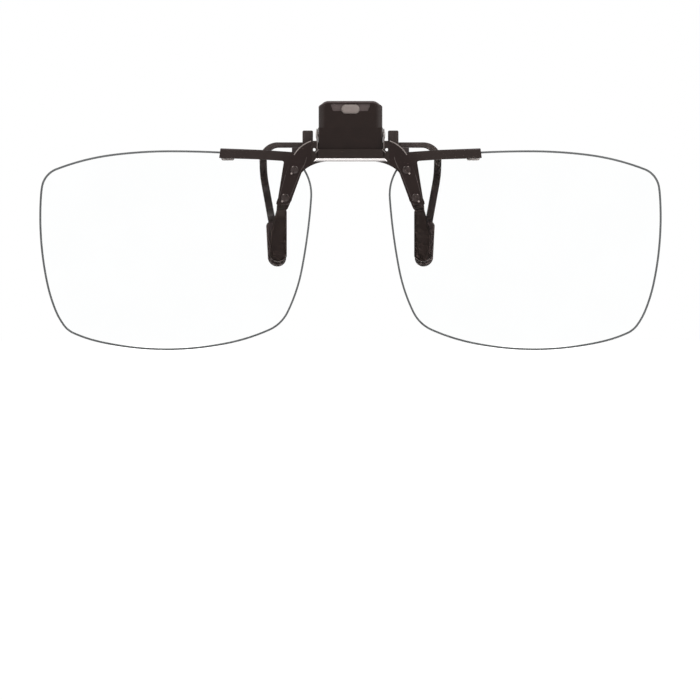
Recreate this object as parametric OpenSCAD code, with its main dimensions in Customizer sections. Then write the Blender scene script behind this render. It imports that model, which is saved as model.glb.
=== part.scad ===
// Flip-up clip-on glasses: two clear lenses on a spring clip that grips the wearer's own frame.
// X runs along the two lenses, Y from the front towards the wearer's face, Z up.
// The origin is the clip seat: the mirror plane, the rear faces of the front pads and the middle of
// the gripped height.

/* [Lenses] */
// Width of each lens
lens_w = 56.8; // [54:0.1:60]
// Height of each lens
lens_h = 41.7; // [38:0.1:45]
// Gap between the lenses at the nose
lens_gap = 16.7; // [15.5:0.1:18]
// Height of the lens tops above the seat
lens_rise = 19.4; // [19.1:0.1:19.7]
// Thickness of a lens
lens_t = 1.5; // [1.2:0.1:1.8]
// Radius of the curved lens faces
lens_face_r = 260; // [220:5:400]
// Radius of the lens outline along its top
top_r = 90; // [75:1:110]
// Radius of the lens outline along its temple side
temple_r = 61.5; // [50:0.5:75]
// Radius of the lens outline along its bottom
bottom_r = 61.5; // [50:0.5:75]
// Radius of the lens outline along its nose side
nose_r = 81; // [65:1:100]
// Corner radius at the top of the temple side
top_temple_r = 6; // [5:0.5:8]
// Corner radius at the bottom of the temple side
low_temple_r = 9; // [7:0.5:11]
// Corner radius at the bottom of the nose side
low_nose_r = 10.3; // [9:0.1:12]
// Corner radius at the top of the nose side
top_nose_r = 3.1; // [2.5:0.1:4]

/* [Lens brackets] */
// Thickness of the bracket and bridge sheet
sheet_t = 0.7; // [0.5:0.05:0.9]
// Radius of the rounded shoulder
shoulder_r = 3.75; // [3.4:0.05:4]
// Distance of the shoulder's centre from the mirror plane
shoulder_x = 8.2; // [8:0.1:8.4]
// Height of the shoulder's top above the seat
shoulder_top = 21.5; // [21.3:0.1:21.7]
// Reach of the top bar from the mirror plane
bar_reach = 27.6; // [26.5:0.1:29]
// Height of the top bar
bar_h = 2; // [1.8:0.1:2.2]
// Rise of the top bar's upper edge above the lens top, at the bar's outer end
bar_rise = 0.5; // [0.45:0.05:0.7]
// Drop of the bar's upper edge from its outer end to the shoulder
bar_drop = 0.85; // [0.5:0.05:1.1]
// Width of the leg plate at its top
leg_plate_top_w = 4.4; // [4.1:0.1:4.7]
// Width of the leg plate at its foot
leg_plate_foot_w = 3.15; // [3:0.05:3.3]
// Height of the leg plate's foot above the seat
leg_plate_foot = 8.4; // [8.2:0.1:8.8]
// Length of the fold that grips the lens top
fold_w = 2.7; // [2.2:0.1:3.2]
// Thickness of the fold's sheet
fold_t = 0.5; // [0.4:0.05:0.6]

/* [Lens fasteners] */
// Distance of the upper lens screw from the mirror plane
upper_screw_x = 11.75; // [11.6:0.05:11.9]
// Height of the upper lens screw above the seat
upper_screw_z = 15.4; // [15.3:0.05:15.6]
// Distance of the lower lens screw from the mirror plane
lower_screw_x = 13.7; // [13.6:0.05:13.8]
// Height of the lower lens screw above the seat
lower_screw_z = 9.55; // [9.4:0.05:9.7]
// Radius of a lens screw's shank
screw_r = 0.6; // [0.5:0.05:0.65]
// Radius of a lens screw's head
screw_head_r = 0.88; // [0.8:0.02:0.96]
// Height of a lens screw's domed head
screw_head_h = 0.4; // [0.3:0.05:0.5]
// Wall of the sleeve around the screw
sleeve_t = 0.3; // [0.25:0.05:0.35]
// Thickness of a lens washer and of the sleeve's flange
washer_t = 0.2; // [0.15:0.05:0.25]
// Radius of a lens washer and of the sleeve's flange
washer_r = 1.25; // [1.15:0.05:1.3]
// Width of a lens nut across its flats
nut_flats = 2.1; // [2:0.1:2.3]
// Thickness of a lens nut
nut_t = 0.5; // [0.4:0.05:0.6]

/* [Front housing] */
// Half width of the housing
housing_half = 6.8; // [6.6:0.05:6.85]
// Thickness of the housing's sheet
housing_t = 0.6; // [0.5:0.05:0.7]
// Height of the housing's lower edge above the seat
housing_low = 19.95; // [19.9:0.05:20.1]
// Height of the step between the housing and its thumb tab
housing_step = 24.3; // [24.1:0.1:24.6]
// Height of the thumb tab's top above the seat
tab_top = 29.9; // [29.3:0.1:31]
// Depth of the thumb tab's turned edges
tab_edge = 1.7; // [1.5:0.1:2]
// Outer radius of the housing's bends
bend_r = 1; // [0.8:0.05:1.1]
// Depth of the recess in the thumb tab
recess_depth = 0.25; // [0.15:0.05:0.35]
// Length of the raised grip bump
bump_len = 3.9; // [3.4:0.1:4.2]
// Height of the raised grip bump
bump_h = 1.95; // [1.6:0.05:2]

/* [Flip hinge] */
// Height of the flip axis above the seat
flip_z = 22.85; // [22.7:0.05:22.95]
// Radius of the flip pin
flip_pin_r = 0.55; // [0.45:0.02:0.55]
// Radius of the flip pin's heads
flip_head_r = 1; // [0.9:0.05:1.05]
// Height of the flip pin's domed heads
flip_head_h = 0.3; // [0.2:0.05:0.4]
// Thickness of the bridge's ears
ear_t = 0.3; // [0.25:0.05:0.35]
// Width of the detent cam across its flats
cam_flats = 1.4; // [1.36:0.02:1.46]
// Length of the detent cam
cam_len = 5; // [4:0.5:5.5]
// Thickness of the detent leaf spring
leaf_t = 0.25; // [0.2:0.05:0.3]
// Height of the bridge band's upper edge
band_top = 19.75; // [19.6:0.05:19.8]
// Height of the polished lip under the band
lip_h = 0.7; // [0.5:0.05:0.8]
// Height of the band's lower edge above the seat
arch_top = 17.85; // [17.7:0.05:18]

/* [Clip base] */
// Thickness of the base plate
base_t = 0.7; // [0.6:0.05:0.8]
// Reach of the base plate's wings from the mirror plane
wing_reach = 12.45; // [12:0.05:13]
// Height of the wings' upper edge above the seat
wing_top = 20.2; // [20:0.05:20.3]
// Height of the base plate's lower edge above the seat
base_low = 17.3; // [17:0.1:17.5]
// Thickness of the front legs
leg_t = 0.7; // [0.6:0.05:0.8]
// Width of the front legs
leg_w = 2.1; // [1.9:0.05:2.2]
// Distance of the front legs' posts from the mirror plane
post_x = 9.25; // [9.2:0.05:9.4]
// Height of the posts' tops above the seat
post_top = 23.6; // [23:0.1:24.5]

/* [Pads] */
// Thickness of every pad
pad_t = 1.8; // [1.6:0.05:2]
// Width of the front pads
front_pad_w = 3.45; // [3.3:0.05:3.6]
// Distance of the front pads' centres from the mirror plane
front_pad_x = 15.35; // [15.2:0.05:15.5]
// Height of the front pads' tops above the seat
front_pad_top = 7.1; // [6.5:0.1:7.5]
// Depth of the front pads' lower ends below the seat
front_pad_low = 4; // [3.7:0.1:4.5]
// Width of the rear pads
rear_pad_w = 3.85; // [3.6:0.05:4.1]
// Distance of the rear pads' centres from the mirror plane
rear_pad_x = 16; // [15.9:0.05:16.1]
// Height of the rear pads' tops above the seat
rear_pad_top = 4.4; // [4:0.1:5]
// Depth of the rear pads' lower ends below the seat
rear_pad_low = 4.85; // [4.5:0.1:5.3]
// Gap between the front and rear pads when nothing is gripped
grip_gap = 0.3; // [0.2:0.05:0.6]

/* [Rear clamp] */
// Height of the clamp axis above the seat
clamp_z = 21.5; // [21.3:0.05:21.7]
// Radius of the clamp pin
clamp_pin_r = 0.5; // [0.4:0.02:0.54]
// Thickness of the clamp plate
clamp_t = 0.7; // [0.6:0.05:0.8]
// Half width of the clamp plate
clamp_half = 6.5; // [6.4:0.05:6.8]
// Height of the clamp plate's lower edge above the seat
clamp_low = 17.8; // [17.5:0.1:18.2]
// Height of the rear thumb tab's top above the seat
clamp_top = 29.4; // [28.5:0.1:30.5]
// Lean of the rear thumb tab away from the front one, in degrees
clamp_lean = 14; // [6:1:20]
// Thickness of the rear arms
arm_t = 0.7; // [0.6:0.05:0.8]
// Width of the rear arms
arm_w = 1.25; // [1:0.05:1.3]
// Height of the rear arms' level run above the seat
arm_z = 20.7; // [20.5:0.05:20.8]
// Distance of the rear arms' bends from the mirror plane
arm_bend_x = 15.5; // [15.4:0.1:15.8]
// Radius of the rear arms' bends
arm_bend_r = 3; // [2.6:0.05:3.1]
// Inward slant of the rear arms, in degrees
arm_slant = 7.5; // [7:0.1:8]
// How far the rear arms bow back to clear the wearer's frame
arm_bow = 4.4; // [4:0.1:5]

/* [Torsion spring] */
// Diameter of the spring wire
wire_d = 0.35; // [0.3:0.01:0.4]
// Mean radius of the coil
coil_r = 0.85; // [0.8:0.01:0.9]
// Number of curls in the coil
curls = 8; // [5:1:8]
// Distance from one curl to the next
curl_pitch = 0.95; // [0.85:0.01:0.98]

/* [Hidden] */

// Clearances: fixed pieces, running fits and faces that pass each other
fixed_gap = 0.02;
running_gap = 0.05;
face_gap = 0.05;
// How far a cut runs past a face, and how far joined shapes reach into each other
past = 1;
overlap = 0.1;
$fn = 48;

// Depths, from the seat forwards
leg_back = -(pad_t - leg_t) / 2;
leg_front = leg_back - leg_t;
base_back = leg_front;
base_front = base_back - base_t;
lens_pad_gap = 0.9;
lens_back = -pad_t - lens_pad_gap;
lens_front = lens_back - lens_t;
bracket_back = lens_front - washer_t;
bracket_front = bracket_back - sheet_t;
tab_setback = 0.1;
housing_front = bracket_back + tab_setback;
tab_front = housing_front + tab_setback;
flip_y = (housing_front + housing_t + base_front) / 2 + 0.1;

// Depths, from the seat backwards
clamp_ear_r = 0.95;
clamp_ear_room = 0.5;
clamp_y = base_back + clamp_ear_r + clamp_ear_room;
clamp_front = clamp_y + clamp_ear_r + clamp_ear_room + 0.05;
clamp_back = clamp_front + clamp_t;
arm_y = clamp_back + arm_t / 2;
rear_pad_front = grip_gap;
rear_pad_y = rear_pad_front + pad_t / 2;

// Lens outline: the four side circles in clockwise order as [across, up, radius], with shifts of their
// centres from the lens's middle lines
lens_nose = lens_gap / 2;
lens_temple = lens_nose + lens_w;
lens_mid_x = lens_nose + lens_w / 2;
lens_low = lens_rise - lens_h;
lens_mid_z = lens_rise - lens_h / 2;
bottom_shift = 1.9;
temple_shift = 6.7;
nose_shift = 13.7;
side_circles = [
    [lens_mid_x, lens_rise - top_r, top_r],
    [lens_temple - temple_r, lens_mid_z + temple_shift, temple_r],
    [lens_mid_x + bottom_shift, lens_low + bottom_r, bottom_r],
    [lens_nose + nose_r, lens_mid_z + nose_shift, nose_r]
];
corner_r = [top_temple_r, low_temple_r, low_nose_r, top_nose_r];
SIDE_STEPS = 14;
CORNER_STEPS = 8;

// Centre of the corner circle of radius r inside side circles a and b
function corner_centre(a, b, r) =
    let (
        ra = a[2] - r,
        rb = b[2] - r,
        gap = [b[0] - a[0], b[1] - a[1]],
        d = norm(gap),
        u = gap / d,
        along = (ra * ra - rb * rb + d * d) / (2 * d),
        away = sqrt(ra * ra - along * along)
    )
    [a[0] + along * u[0] + away * u[1], a[1] + along * u[1] - away * u[0]];

function direction(from, to) = atan2(to[1] - from[1], to[0] - from[0]);

// Points of a clockwise arc, without its last one
function arc(c, r, a0, a1, steps) =
    let (end = a1 > a0 ? a1 - 360 : a1)
    [for (i = [0 : steps - 1]) let (a = a0 + (end - a0) * i / steps) c + r * [cos(a), sin(a)]];

corner_centres = [
    for (i = [0 : 3]) corner_centre(side_circles[i], side_circles[(i + 1) % 4], corner_r[i])
];

function lens_points() = [
    for (i = [0 : 3])
        let (
            side = side_circles[i],
            c = [side[0], side[1]],
            next = side_circles[(i + 1) % 4],
            before = corner_centres[(i + 3) % 4],
            after = corner_centres[i]
        )
        for (p = concat(
            arc(c, side[2], direction(c, before), direction(c, after), SIDE_STEPS),
            arc(after, corner_r[i], direction(c, after), direction([next[0], next[1]], after), CORNER_STEPS)
        )) p
];

// Foremost point of a lens, where its faces are parallel to the bracket
apex = [lens_nose + 11.3, lens_rise - 7.4];

// How far a lens face has curved back at a distance from the apex, and at a place
function sag_at(reach) = lens_face_r - sqrt(pow(lens_face_r, 2) - pow(reach, 2));
function face_sag(p) = sag_at(norm(p - apex));

// Bracket outline, from the shoulder to the foot
shoulder_z = shoulder_top - shoulder_r;
bracket_inner = housing_half + ear_t + 2 * face_gap + 0.2;
bar_top = lens_rise + bar_rise;
bar_low = bar_top - bar_h;
bar_root_x = shoulder_x + shoulder_r + 0.7;
leg_in = [9.75, 15.5];
leg_hip = [10.45, 14.9];
leg_out = [leg_in[0] + leg_plate_top_w, bar_low - bar_drop + 0.1];
foot_r = 1.15;
foot_out_x = 15.75;
foot_in_x = foot_out_x - leg_plate_foot_w;
foot_nick = 0.3;
arch_r = 8.1;
arch_x = 5;
arch_low = arch_top - lip_h;
shoulder_low = arch_low - 1.2;
relief = [bracket_inner + 0.4, band_top - 0.08];
relief_r = 0.35;
lip_depth = 0.35;
lip_proud = 0.25;
lip_reach = shoulder_x - 0.2;

// Fold over the lens top
fold_out = bar_reach - 0.35;
fold_in = fold_out - fold_w;
fold_top = bar_top - 0.1;
fold_low = bar_low - 0.45;
fold_inside = lens_back + face_sag([fold_out, lens_rise]) + washer_t;
liner_t = washer_t - 2 * fixed_gap;
liner_end_gap = 0.15;

// Lens fasteners, along the screw from the front
upper_screw = [upper_screw_x, upper_screw_z];
lower_screw = [lower_screw_x, lower_screw_z];
screws = [upper_screw, lower_screw];
sleeve_r = screw_r + sleeve_t;
sleeve_front = lens_front + 0.2;
flange_front = lens_back + sag_at(norm(upper_screw - apex) + washer_r) + fixed_gap;
flange_back = flange_front + washer_t;
nut_back = flange_back + nut_t;

// Front leg route: post, upper bend, middle, lower bend, end in the pad
leg_bend = [post_x, 18.9];
leg_middle = [12, 14.9];
leg_knee = [14.75, 7.35];
leg_end = [front_pad_x, -2.4];
rivet_z = 19.1;
rivet_r = 0.4;
rivet_head_r = 0.75;
rivet_head_h = 0.25;

// Housing details
wall_in = housing_half - housing_t;
stake = [20.75, 21.75];
stake_proud = 0.25;
tab_corner_w = 1.65;
tab_corner_h = 0.85;
recess_top = tab_top - 0.6;
recess_low = recess_top - 1.65;
recess_top_half = 4.4;
recess_low_half = 3.8;
bump_z = tab_top - 0.75 - bump_h / 2;
bump_proud = 0.25;

// Detent: a cam with rounded corners above a leaf spring, and the room around them
cam_corner = 0.35;
cam_flat = cam_flats / 2;
cam_reach = norm([1, 1]) * (cam_flat - cam_corner) + cam_corner;
leaf_top = flip_z - cam_reach - face_gap;
leaf_low = leaf_top - leaf_t;
leaf_half = 0.6;
leaf_end = housing_half - 0.1;
cam_notch_half = cam_len / 2 + 0.3;
cam_notch_low = flip_z - cam_reach - 0.15;

// Bridge ears
ear_in = housing_half + face_gap;
ear_out = ear_in + ear_t;
ear_low = band_top - 1.6;
ear_high = band_top + 2;
ear_foot = 0.9;
ear_neck = 0.85;

// Notches in the wings, behind the relief holes of the bridge
wing_notch_in = bracket_inner - 0.1;
wing_notch_out = post_x - leg_w / 2 - 0.02;
wing_notch_low = relief[1] - relief_r - 0.25;

// Clamp hinge ears: the base's are inside the clamp's
base_ear_out = 5.7;
clamp_ear_t = 0.4;
clamp_ear_in = base_ear_out + 0.15;
pin_head_r = 0.8;
pin_head_h = 0.25;
clamp_corner = 1.6;

// Arm run along its height
arm_turn = arm_z - arm_bend_r;
arm_end_z = -2.8;
bow_top = arm_z - arm_w / 2 - 0.1;
bow_low = rear_pad_top + 0.4;
arm_back_limit = arm_y + arm_bow + arm_t + past;
arm_side_limit = arm_bend_x + arm_bend_r + arm_w + past;
ARM_STEPS = 22;
BEND_STEPS = 12;
arm_rivet_x = 4;
arm_inner = 2.6;

// Pads: tapers as [across, up], and the radius of their lower ends
front_taper = [1.05, 5];
rear_taper = [0.6, 0.6];
pad_end_r = 2.3;

// Colours
dark_metal = [0.2, 0.16, 0.15];
grey_metal = [0.27, 0.24, 0.23];
bright_metal = [0.8, 0.8, 0.79];
rubber_black = [0.13, 0.12, 0.12];
clear_plastic = [0.85, 0.85, 0.83];
clear_lens = [0.92, 0.95, 0.96, 0.35];

// Stand a shape drawn as [across, up] upright between two depths
module upright(from, to) translate([0, to, 0]) rotate([90, 0, 0]) linear_extrude(to - from) children();

// Extrude a shape drawn as [depth, up] along X
module sideways(from, to)
    translate([from, 0, 0]) rotate([90, 0, 90]) linear_extrude(to - from) children();

// A round bar along X through a place given as [depth, up]
module cross_bar(p, r, from, to)
    translate([from, p[0], p[1]]) rotate([0, 90, 0]) cylinder(r = r, h = to - from);

// A round bar along Y at a place given as [across, up]
module deep_bar(p, r, from, to) translate([p[0], to, p[1]]) rotate([90, 0, 0]) cylinder(r = r, h = to - from);

// A domed head standing on the XY plane
module dome(r, h) {
    ball = (r * r + h * h) / (2 * h);
    rotate_extrude() intersection() {
        translate([0, h - ball]) circle(ball, $fn = 128);
        square([r, h]);
    }
}

module both_sides() {
    children();
    mirror([1, 0, 0]) children();
}

module both_sides_flat() {
    children();
    mirror([1, 0]) children();
}

module slab(x0, x1, z0, z1) translate([x0, z0]) square([x1 - x0, z1 - z0]);

// A straight strip of a width between two places, with round ends
module strip(a, b, w) {
    translate(a) rotate(direction(a, b)) translate([0, -w / 2]) square([norm(b - a), w]);
    translate(a) circle(w / 2);
    translate(b) circle(w / 2);
}

// Front housing: a channel with a thumb tab
module channel_plan(half, front, back, wall, r) difference() {
    union() {
        slab(-half, half, front + r, back);
        slab(-half + r, half - r, front, back);
        for (s = [-1, 1]) translate([s * (half - r), front + r]) circle(r);
    }
    union() {
        slab(-half + wall, half - wall, front + r, back + past);
        slab(-half + r, half - r, front + wall, back + past);
        for (s = [-1, 1]) translate([s * (half - r), front + r]) circle(r - wall);
    }
}

// The tab's front view, with its two upper corners cut off
module tab_outline() {
    reach = housing_half + past;
    corner_z = tab_top - tab_corner_h * (1 + past / tab_corner_w);
    polygon([
        [-reach, housing_low], [reach, housing_low], [reach, corner_z],
        [housing_half - tab_corner_w, tab_top], [-housing_half + tab_corner_w, tab_top],
        [-reach, corner_z]
    ]);
}

module grip_bump() {
    run = (bump_len - bump_h) / 2;
    upright(tab_front - bump_proud, tab_front + housing_t - overlap) {
        slab(-run, run, bump_z - bump_h / 2, bump_z + bump_h / 2);
        both_sides_flat() translate([run, bump_z]) circle(bump_h / 2);
    }
}

module front_housing() color(dark_metal) {
    difference() {
        union() {
            translate([0, 0, housing_low]) linear_extrude(housing_step - housing_low)
                channel_plan(housing_half, housing_front, base_front, housing_t, bend_r);
            intersection() {
                translate([0, 0, housing_step]) linear_extrude(tab_top - housing_step)
                    channel_plan(housing_half, tab_front, tab_front + tab_edge, housing_t, bend_r);
                upright(housing_front - past, base_back) tab_outline();
            }
            both_sides() upright(base_front - overlap, base_back + stake_proud)
                slab(wall_in + fixed_gap, housing_half - fixed_gap, stake[0], stake[1]);
        }
        upright(housing_front - past, tab_front + recess_depth) polygon([
            [-recess_top_half, recess_top], [recess_top_half, recess_top],
            [recess_low_half, recess_low], [-recess_low_half, recess_low]
        ]);
        cross_bar([flip_y, flip_z], flip_pin_r + running_gap, -housing_half - past, housing_half + past);
        both_sides() sideways(wall_in - past, housing_half + past) slab(
            flip_y - leaf_half - fixed_gap, flip_y + leaf_half + fixed_gap,
            leaf_low - fixed_gap, leaf_top + fixed_gap
        );
    }
    grip_bump();
}

// Leaf spring that the cam's flats rest on, held in two slots of the housing
module detent_leaf() color(bright_metal) sideways(-leaf_end, leaf_end)
    slab(flip_y - leaf_half, flip_y + leaf_half, leaf_low, leaf_top);

// Base plate with its wings and the two ears of the clamp hinge
module base_plate() color(dark_metal) difference() {
    union() {
        upright(base_front, base_back) {
            slab(-wing_reach, wing_reach, base_low, wing_top);
            slab(-housing_half, housing_half, base_low, housing_step);
        }
        both_sides() sideways(base_ear_out - clamp_ear_t, base_ear_out) {
            slab(base_back - overlap, clamp_y, clamp_z - clamp_ear_r, clamp_z + clamp_ear_r);
            translate([clamp_y, clamp_z]) circle(clamp_ear_r);
        }
    }
    upright(base_front - past, base_back + past) {
        slab(-cam_notch_half, cam_notch_half, cam_notch_low, housing_step + past);
        both_sides_flat() {
            slab(wall_in, housing_half + past, stake[0] - fixed_gap, stake[1] + fixed_gap);
            slab(wing_notch_in, wing_notch_out, wing_notch_low, wing_top + past);
            translate([post_x, rivet_z]) circle(rivet_r + fixed_gap);
        }
    }
    cross_bar([clamp_y, clamp_z], clamp_pin_r + fixed_gap, -base_ear_out - past, base_ear_out + past);
}

// Front leg: a post that stands up beside the housing, and the strip down to the pad
module leg_shape(extra) {
    slab(post_x - leg_w / 2 - extra, post_x + leg_w / 2 + extra, leg_bend[1], post_top);
    strip(leg_bend, leg_middle, leg_w + 2 * extra);
    strip(leg_middle, leg_knee, leg_w + 2 * extra);
    strip(leg_knee, leg_end, leg_w + 2 * extra);
}

module front_leg() color(grey_metal) difference() {
    upright(leg_front, leg_back) leg_shape(0);
    deep_bar([post_x, rivet_z], rivet_r + fixed_gap, leg_front - past, leg_back + past);
}

module leg_rivets() color(grey_metal) both_sides() {
    deep_bar([post_x, rivet_z], rivet_r, base_front, leg_back);
    translate([post_x, base_front, rivet_z]) rotate([90, 0, 0]) dome(rivet_head_r, rivet_head_h);
    translate([post_x, leg_back, rivet_z]) rotate([-90, 0, 0]) dome(rivet_head_r, rivet_head_h);
}

// A pad's outline: straight sides, a rounded lower end and a taper at its upper outer corner
module pad_shape(x, w, taper, top, low, end_r) {
    polygon([
        [x - w / 2, end_r - low], [x + w / 2, end_r - low], [x + w / 2, top - taper[1]],
        [x + w / 2 - taper[0], top], [x - w / 2, top]
    ]);
    intersection() {
        translate([x, end_r - low]) circle(end_r);
        slab(x - w / 2, x + w / 2, -low - past, end_r - low + overlap);
    }
}

module front_pad() color(rubber_black) difference() {
    upright(-pad_t, 0)
        pad_shape(front_pad_x, front_pad_w, front_taper, front_pad_top, front_pad_low, pad_end_r);
    upright(leg_front - fixed_gap, leg_back + fixed_gap) leg_shape(fixed_gap);
}

// Flip frame: bridge, ears, polished lip, brackets, pin and cam
module arch_cut() {
    both_sides_flat() intersection() {
        translate([arch_x, arch_low - arch_r]) circle(arch_r, $fn = 96);
        slab(0, leg_in[0], arch_low - arch_r, arch_low);
    }
    slab(-arch_x, arch_x, arch_low - arch_r, arch_low);
}

module bridge_shape() difference() {
    union() {
        slab(-shoulder_x, shoulder_x, shoulder_low, band_top);
        both_sides_flat() slab(bracket_inner, shoulder_x, shoulder_low, shoulder_top);
    }
    arch_cut();
    both_sides_flat() translate(relief) circle(relief_r);
}

module ear_shape() {
    polygon([
        [bracket_front, ear_low], [bracket_back + ear_foot, ear_low], [flip_y + ear_neck, flip_z],
        [flip_y - ear_neck, flip_z + ear_neck / 2], [bracket_front, ear_high]
    ]);
    translate([flip_y, flip_z]) circle(flip_head_r);
}

module lip_shape(extra) polygon([
    [-lip_reach - extra, arch_low - extra], [lip_reach + extra, arch_low - extra],
    [lip_reach - lip_h + extra, arch_top + extra], [-lip_reach + lip_h - extra, arch_top + extra]
]);

module flip_bridge() color(dark_metal) difference() {
    union() {
        upright(bracket_front, bracket_back) bridge_shape();
        both_sides() sideways(ear_in, ear_out) ear_shape();
    }
    cross_bar([flip_y, flip_z], flip_pin_r + fixed_gap, -ear_out - past, ear_out + past);
    upright(bracket_front - past, bracket_front + lip_depth + fixed_gap) lip_shape(fixed_gap);
}

// Polished lip let into the front of the band's lower edge
module bridge_lip() color(bright_metal)
    upright(bracket_front - lip_proud, bracket_front + lip_depth) lip_shape(0);

module bracket_shape() difference() {
    union() {
        intersection() {
            translate([shoulder_x, shoulder_z]) circle(shoulder_r, $fn = 96);
            slab(shoulder_x, shoulder_x + shoulder_r, shoulder_low, shoulder_top);
        }
        polygon([
            [shoulder_x, shoulder_z], [shoulder_x, shoulder_low], leg_in, leg_hip,
            [foot_in_x, lower_screw_z], [lower_screw_x, lower_screw_z - foot_r],
            [foot_out_x - foot_nick, leg_plate_foot - foot_nick], [foot_out_x, leg_plate_foot],
            leg_out, [leg_out[0], shoulder_z]
        ]);
        translate(lower_screw) circle(foot_r);
        polygon([
            [shoulder_x, shoulder_z], leg_out, [bar_reach + 0.2, bar_low], [bar_reach, bar_top],
            [bar_root_x, bar_top - bar_drop], [shoulder_x + shoulder_r * 0.8, bar_top - bar_drop]
        ]);
    }
    arch_cut();
    for (p = screws) translate(p) circle(screw_r + fixed_gap);
}

module lens_bracket() color(dark_metal) {
    upright(bracket_front, bracket_back) bracket_shape();
    sideways(fold_in, fold_out) {
        slab(bracket_back - overlap, fold_inside + fold_t, fold_top - fold_t, fold_top);
        slab(fold_inside, fold_inside + fold_t, fold_low, fold_top);
    }
}

// Soft liner between the fold and the lens
module fold_liner() color(clear_plastic) sideways(fold_in + overlap, fold_out - overlap) {
    back = fold_inside - fixed_gap;
    top = fold_top - fold_t - fixed_gap;
    slab(back - liner_t, back, fold_low + liner_end_gap, top);
    slab(bracket_back + fixed_gap, back, top - liner_t, top);
}

module flip_pin() color(bright_metal) {
    reach = ear_out + fixed_gap;
    cross_bar([flip_y, flip_z], flip_pin_r, -reach, reach);
    both_sides() translate([reach, flip_y, flip_z]) rotate([0, 90, 0]) dome(flip_head_r, flip_head_h);
}

module flip_cam() color(grey_metal) difference() {
    inner = cam_flat - cam_corner;
    sideways(-cam_len / 2, cam_len / 2) {
        slab(flip_y - cam_flat, flip_y + cam_flat, flip_z - inner, flip_z + inner);
        slab(flip_y - inner, flip_y + inner, flip_z - cam_flat, flip_z + cam_flat);
        for (s = [-1, 1], t = [-1, 1]) translate([flip_y + s * inner, flip_z + t * inner]) circle(cam_corner);
    }
    cross_bar([flip_y, flip_z], flip_pin_r + fixed_gap, -cam_len, cam_len);
}

// Lens: its outline cut from a shell with parallel curved faces
module lens() color(clear_lens) difference() {
    intersection() {
        upright(lens_front - past, lens_back + face_sag([lens_temple, lens_low]) + past)
            polygon(lens_points());
        translate([apex[0], lens_front + lens_face_r, apex[1]]) difference() {
            sphere(lens_face_r, $fn = 360);
            sphere(lens_face_r - lens_t, $fn = 360);
        }
    }
    for (p = screws) deep_bar(p, sleeve_r + fixed_gap, lens_front - past, lens_back + past);
}

module lens_screws() color(grey_metal) for (p = screws) {
    deep_bar(p, screw_r, bracket_front, nut_back);
    translate([p[0], bracket_front, p[1]]) rotate([90, 0, 0]) dome(screw_head_r, screw_head_h);
}

// Flanged sleeve that keeps the screw off the lens
module lens_sleeves() color(clear_plastic) for (p = screws) difference() {
    union() {
        deep_bar(p, sleeve_r, sleeve_front, flange_back);
        deep_bar(p, washer_r, flange_front, flange_back);
    }
    deep_bar(p, screw_r + fixed_gap, sleeve_front - past, flange_back + past);
}

module lens_washers() color(clear_plastic) for (p = screws) difference() {
    deep_bar(p, washer_r, bracket_back, lens_front);
    deep_bar(p, screw_r + fixed_gap, bracket_back - past, lens_front + past);
}

module lens_nuts() color(bright_metal) for (p = screws) difference() {
    translate([p[0], nut_back, p[1]]) rotate([90, 0, 0])
        cylinder(d = nut_flats / cos(30), h = nut_t, $fn = 6);
    deep_bar(p, screw_r + fixed_gap, flange_back - past, nut_back + past);
}

// Clamp plate: rear thumb tab, and ears outside the base's ears
module clamp_side() {
    back = (clamp_top - housing_step) * tan(clamp_lean);
    polygon([
        [clamp_front, clamp_low], [clamp_back, clamp_low], [clamp_back, housing_step],
        [clamp_back + back, clamp_top], [clamp_front + back, clamp_top], [clamp_front, housing_step]
    ]);
}

module clamp_outline() polygon([
    [-clamp_half, clamp_low], [clamp_half, clamp_low], [clamp_half, clamp_top - clamp_corner],
    [clamp_half - clamp_corner, clamp_top], [-clamp_half + clamp_corner, clamp_top],
    [-clamp_half, clamp_top - clamp_corner]
]);

module clamp_plate() color(dark_metal) difference() {
    union() {
        intersection() {
            sideways(-clamp_half, clamp_half) clamp_side();
            upright(clamp_front - past, clamp_back + clamp_top - housing_step) clamp_outline();
        }
        both_sides() sideways(clamp_ear_in, clamp_ear_in + clamp_ear_t) {
            slab(clamp_y, clamp_front + overlap, clamp_z - clamp_ear_r, clamp_z + clamp_ear_r);
            translate([clamp_y, clamp_z]) circle(clamp_ear_r);
        }
    }
    cross_bar([clamp_y, clamp_z], clamp_pin_r + running_gap, -clamp_half - past, clamp_half + past);
    both_sides() deep_bar([arm_rivet_x, arm_z], rivet_r + fixed_gap, clamp_front - past, clamp_back + past);
}

module clamp_pin() color(bright_metal) {
    reach = clamp_ear_in + clamp_ear_t + face_gap;
    cross_bar([clamp_y, clamp_z], clamp_pin_r, -reach, reach);
    both_sides() translate([reach, clamp_y, clamp_z]) rotate([0, 90, 0]) dome(pin_head_r, pin_head_h);
}

// Rear arm seen from the front: a level run, a bend and a slanting run
module arm_front(extra) {
    half = arm_w / 2 + extra;
    bend = [arm_bend_x, arm_turn];
    run = (arm_turn - arm_end_z) / cos(arm_slant);
    slant = run * [-sin(arm_slant), -cos(arm_slant)];
    outer = [for (i = [0 : BEND_STEPS]) turned(bend, arm_bend_r + half, i)];
    inner = [for (i = [BEND_STEPS : -1 : 0]) turned(bend, arm_bend_r - half, i)];
    polygon(concat(
        [[arm_inner, arm_z + half]], outer, [outer[BEND_STEPS] + slant, inner[0] + slant], inner,
        [[arm_inner, arm_z - half]]
    ));
}

// Point i of the arm's bend, counted from its level run
function turned(c, r, i) =
    let (a = 90 - (90 + arm_slant) * i / BEND_STEPS)
    c + r * [cos(a), sin(a)];

// Depth of a rear arm's middle at a height
function arm_depth(z) =
    let (
        s = min(1, max(0, (bow_top - z) / (bow_top - bow_low))),
        ease = s * s * (3 - 2 * s)
    )
    arm_y + (rear_pad_y - arm_y) * ease + arm_bow * pow(sin(180 * s), 2);

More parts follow.
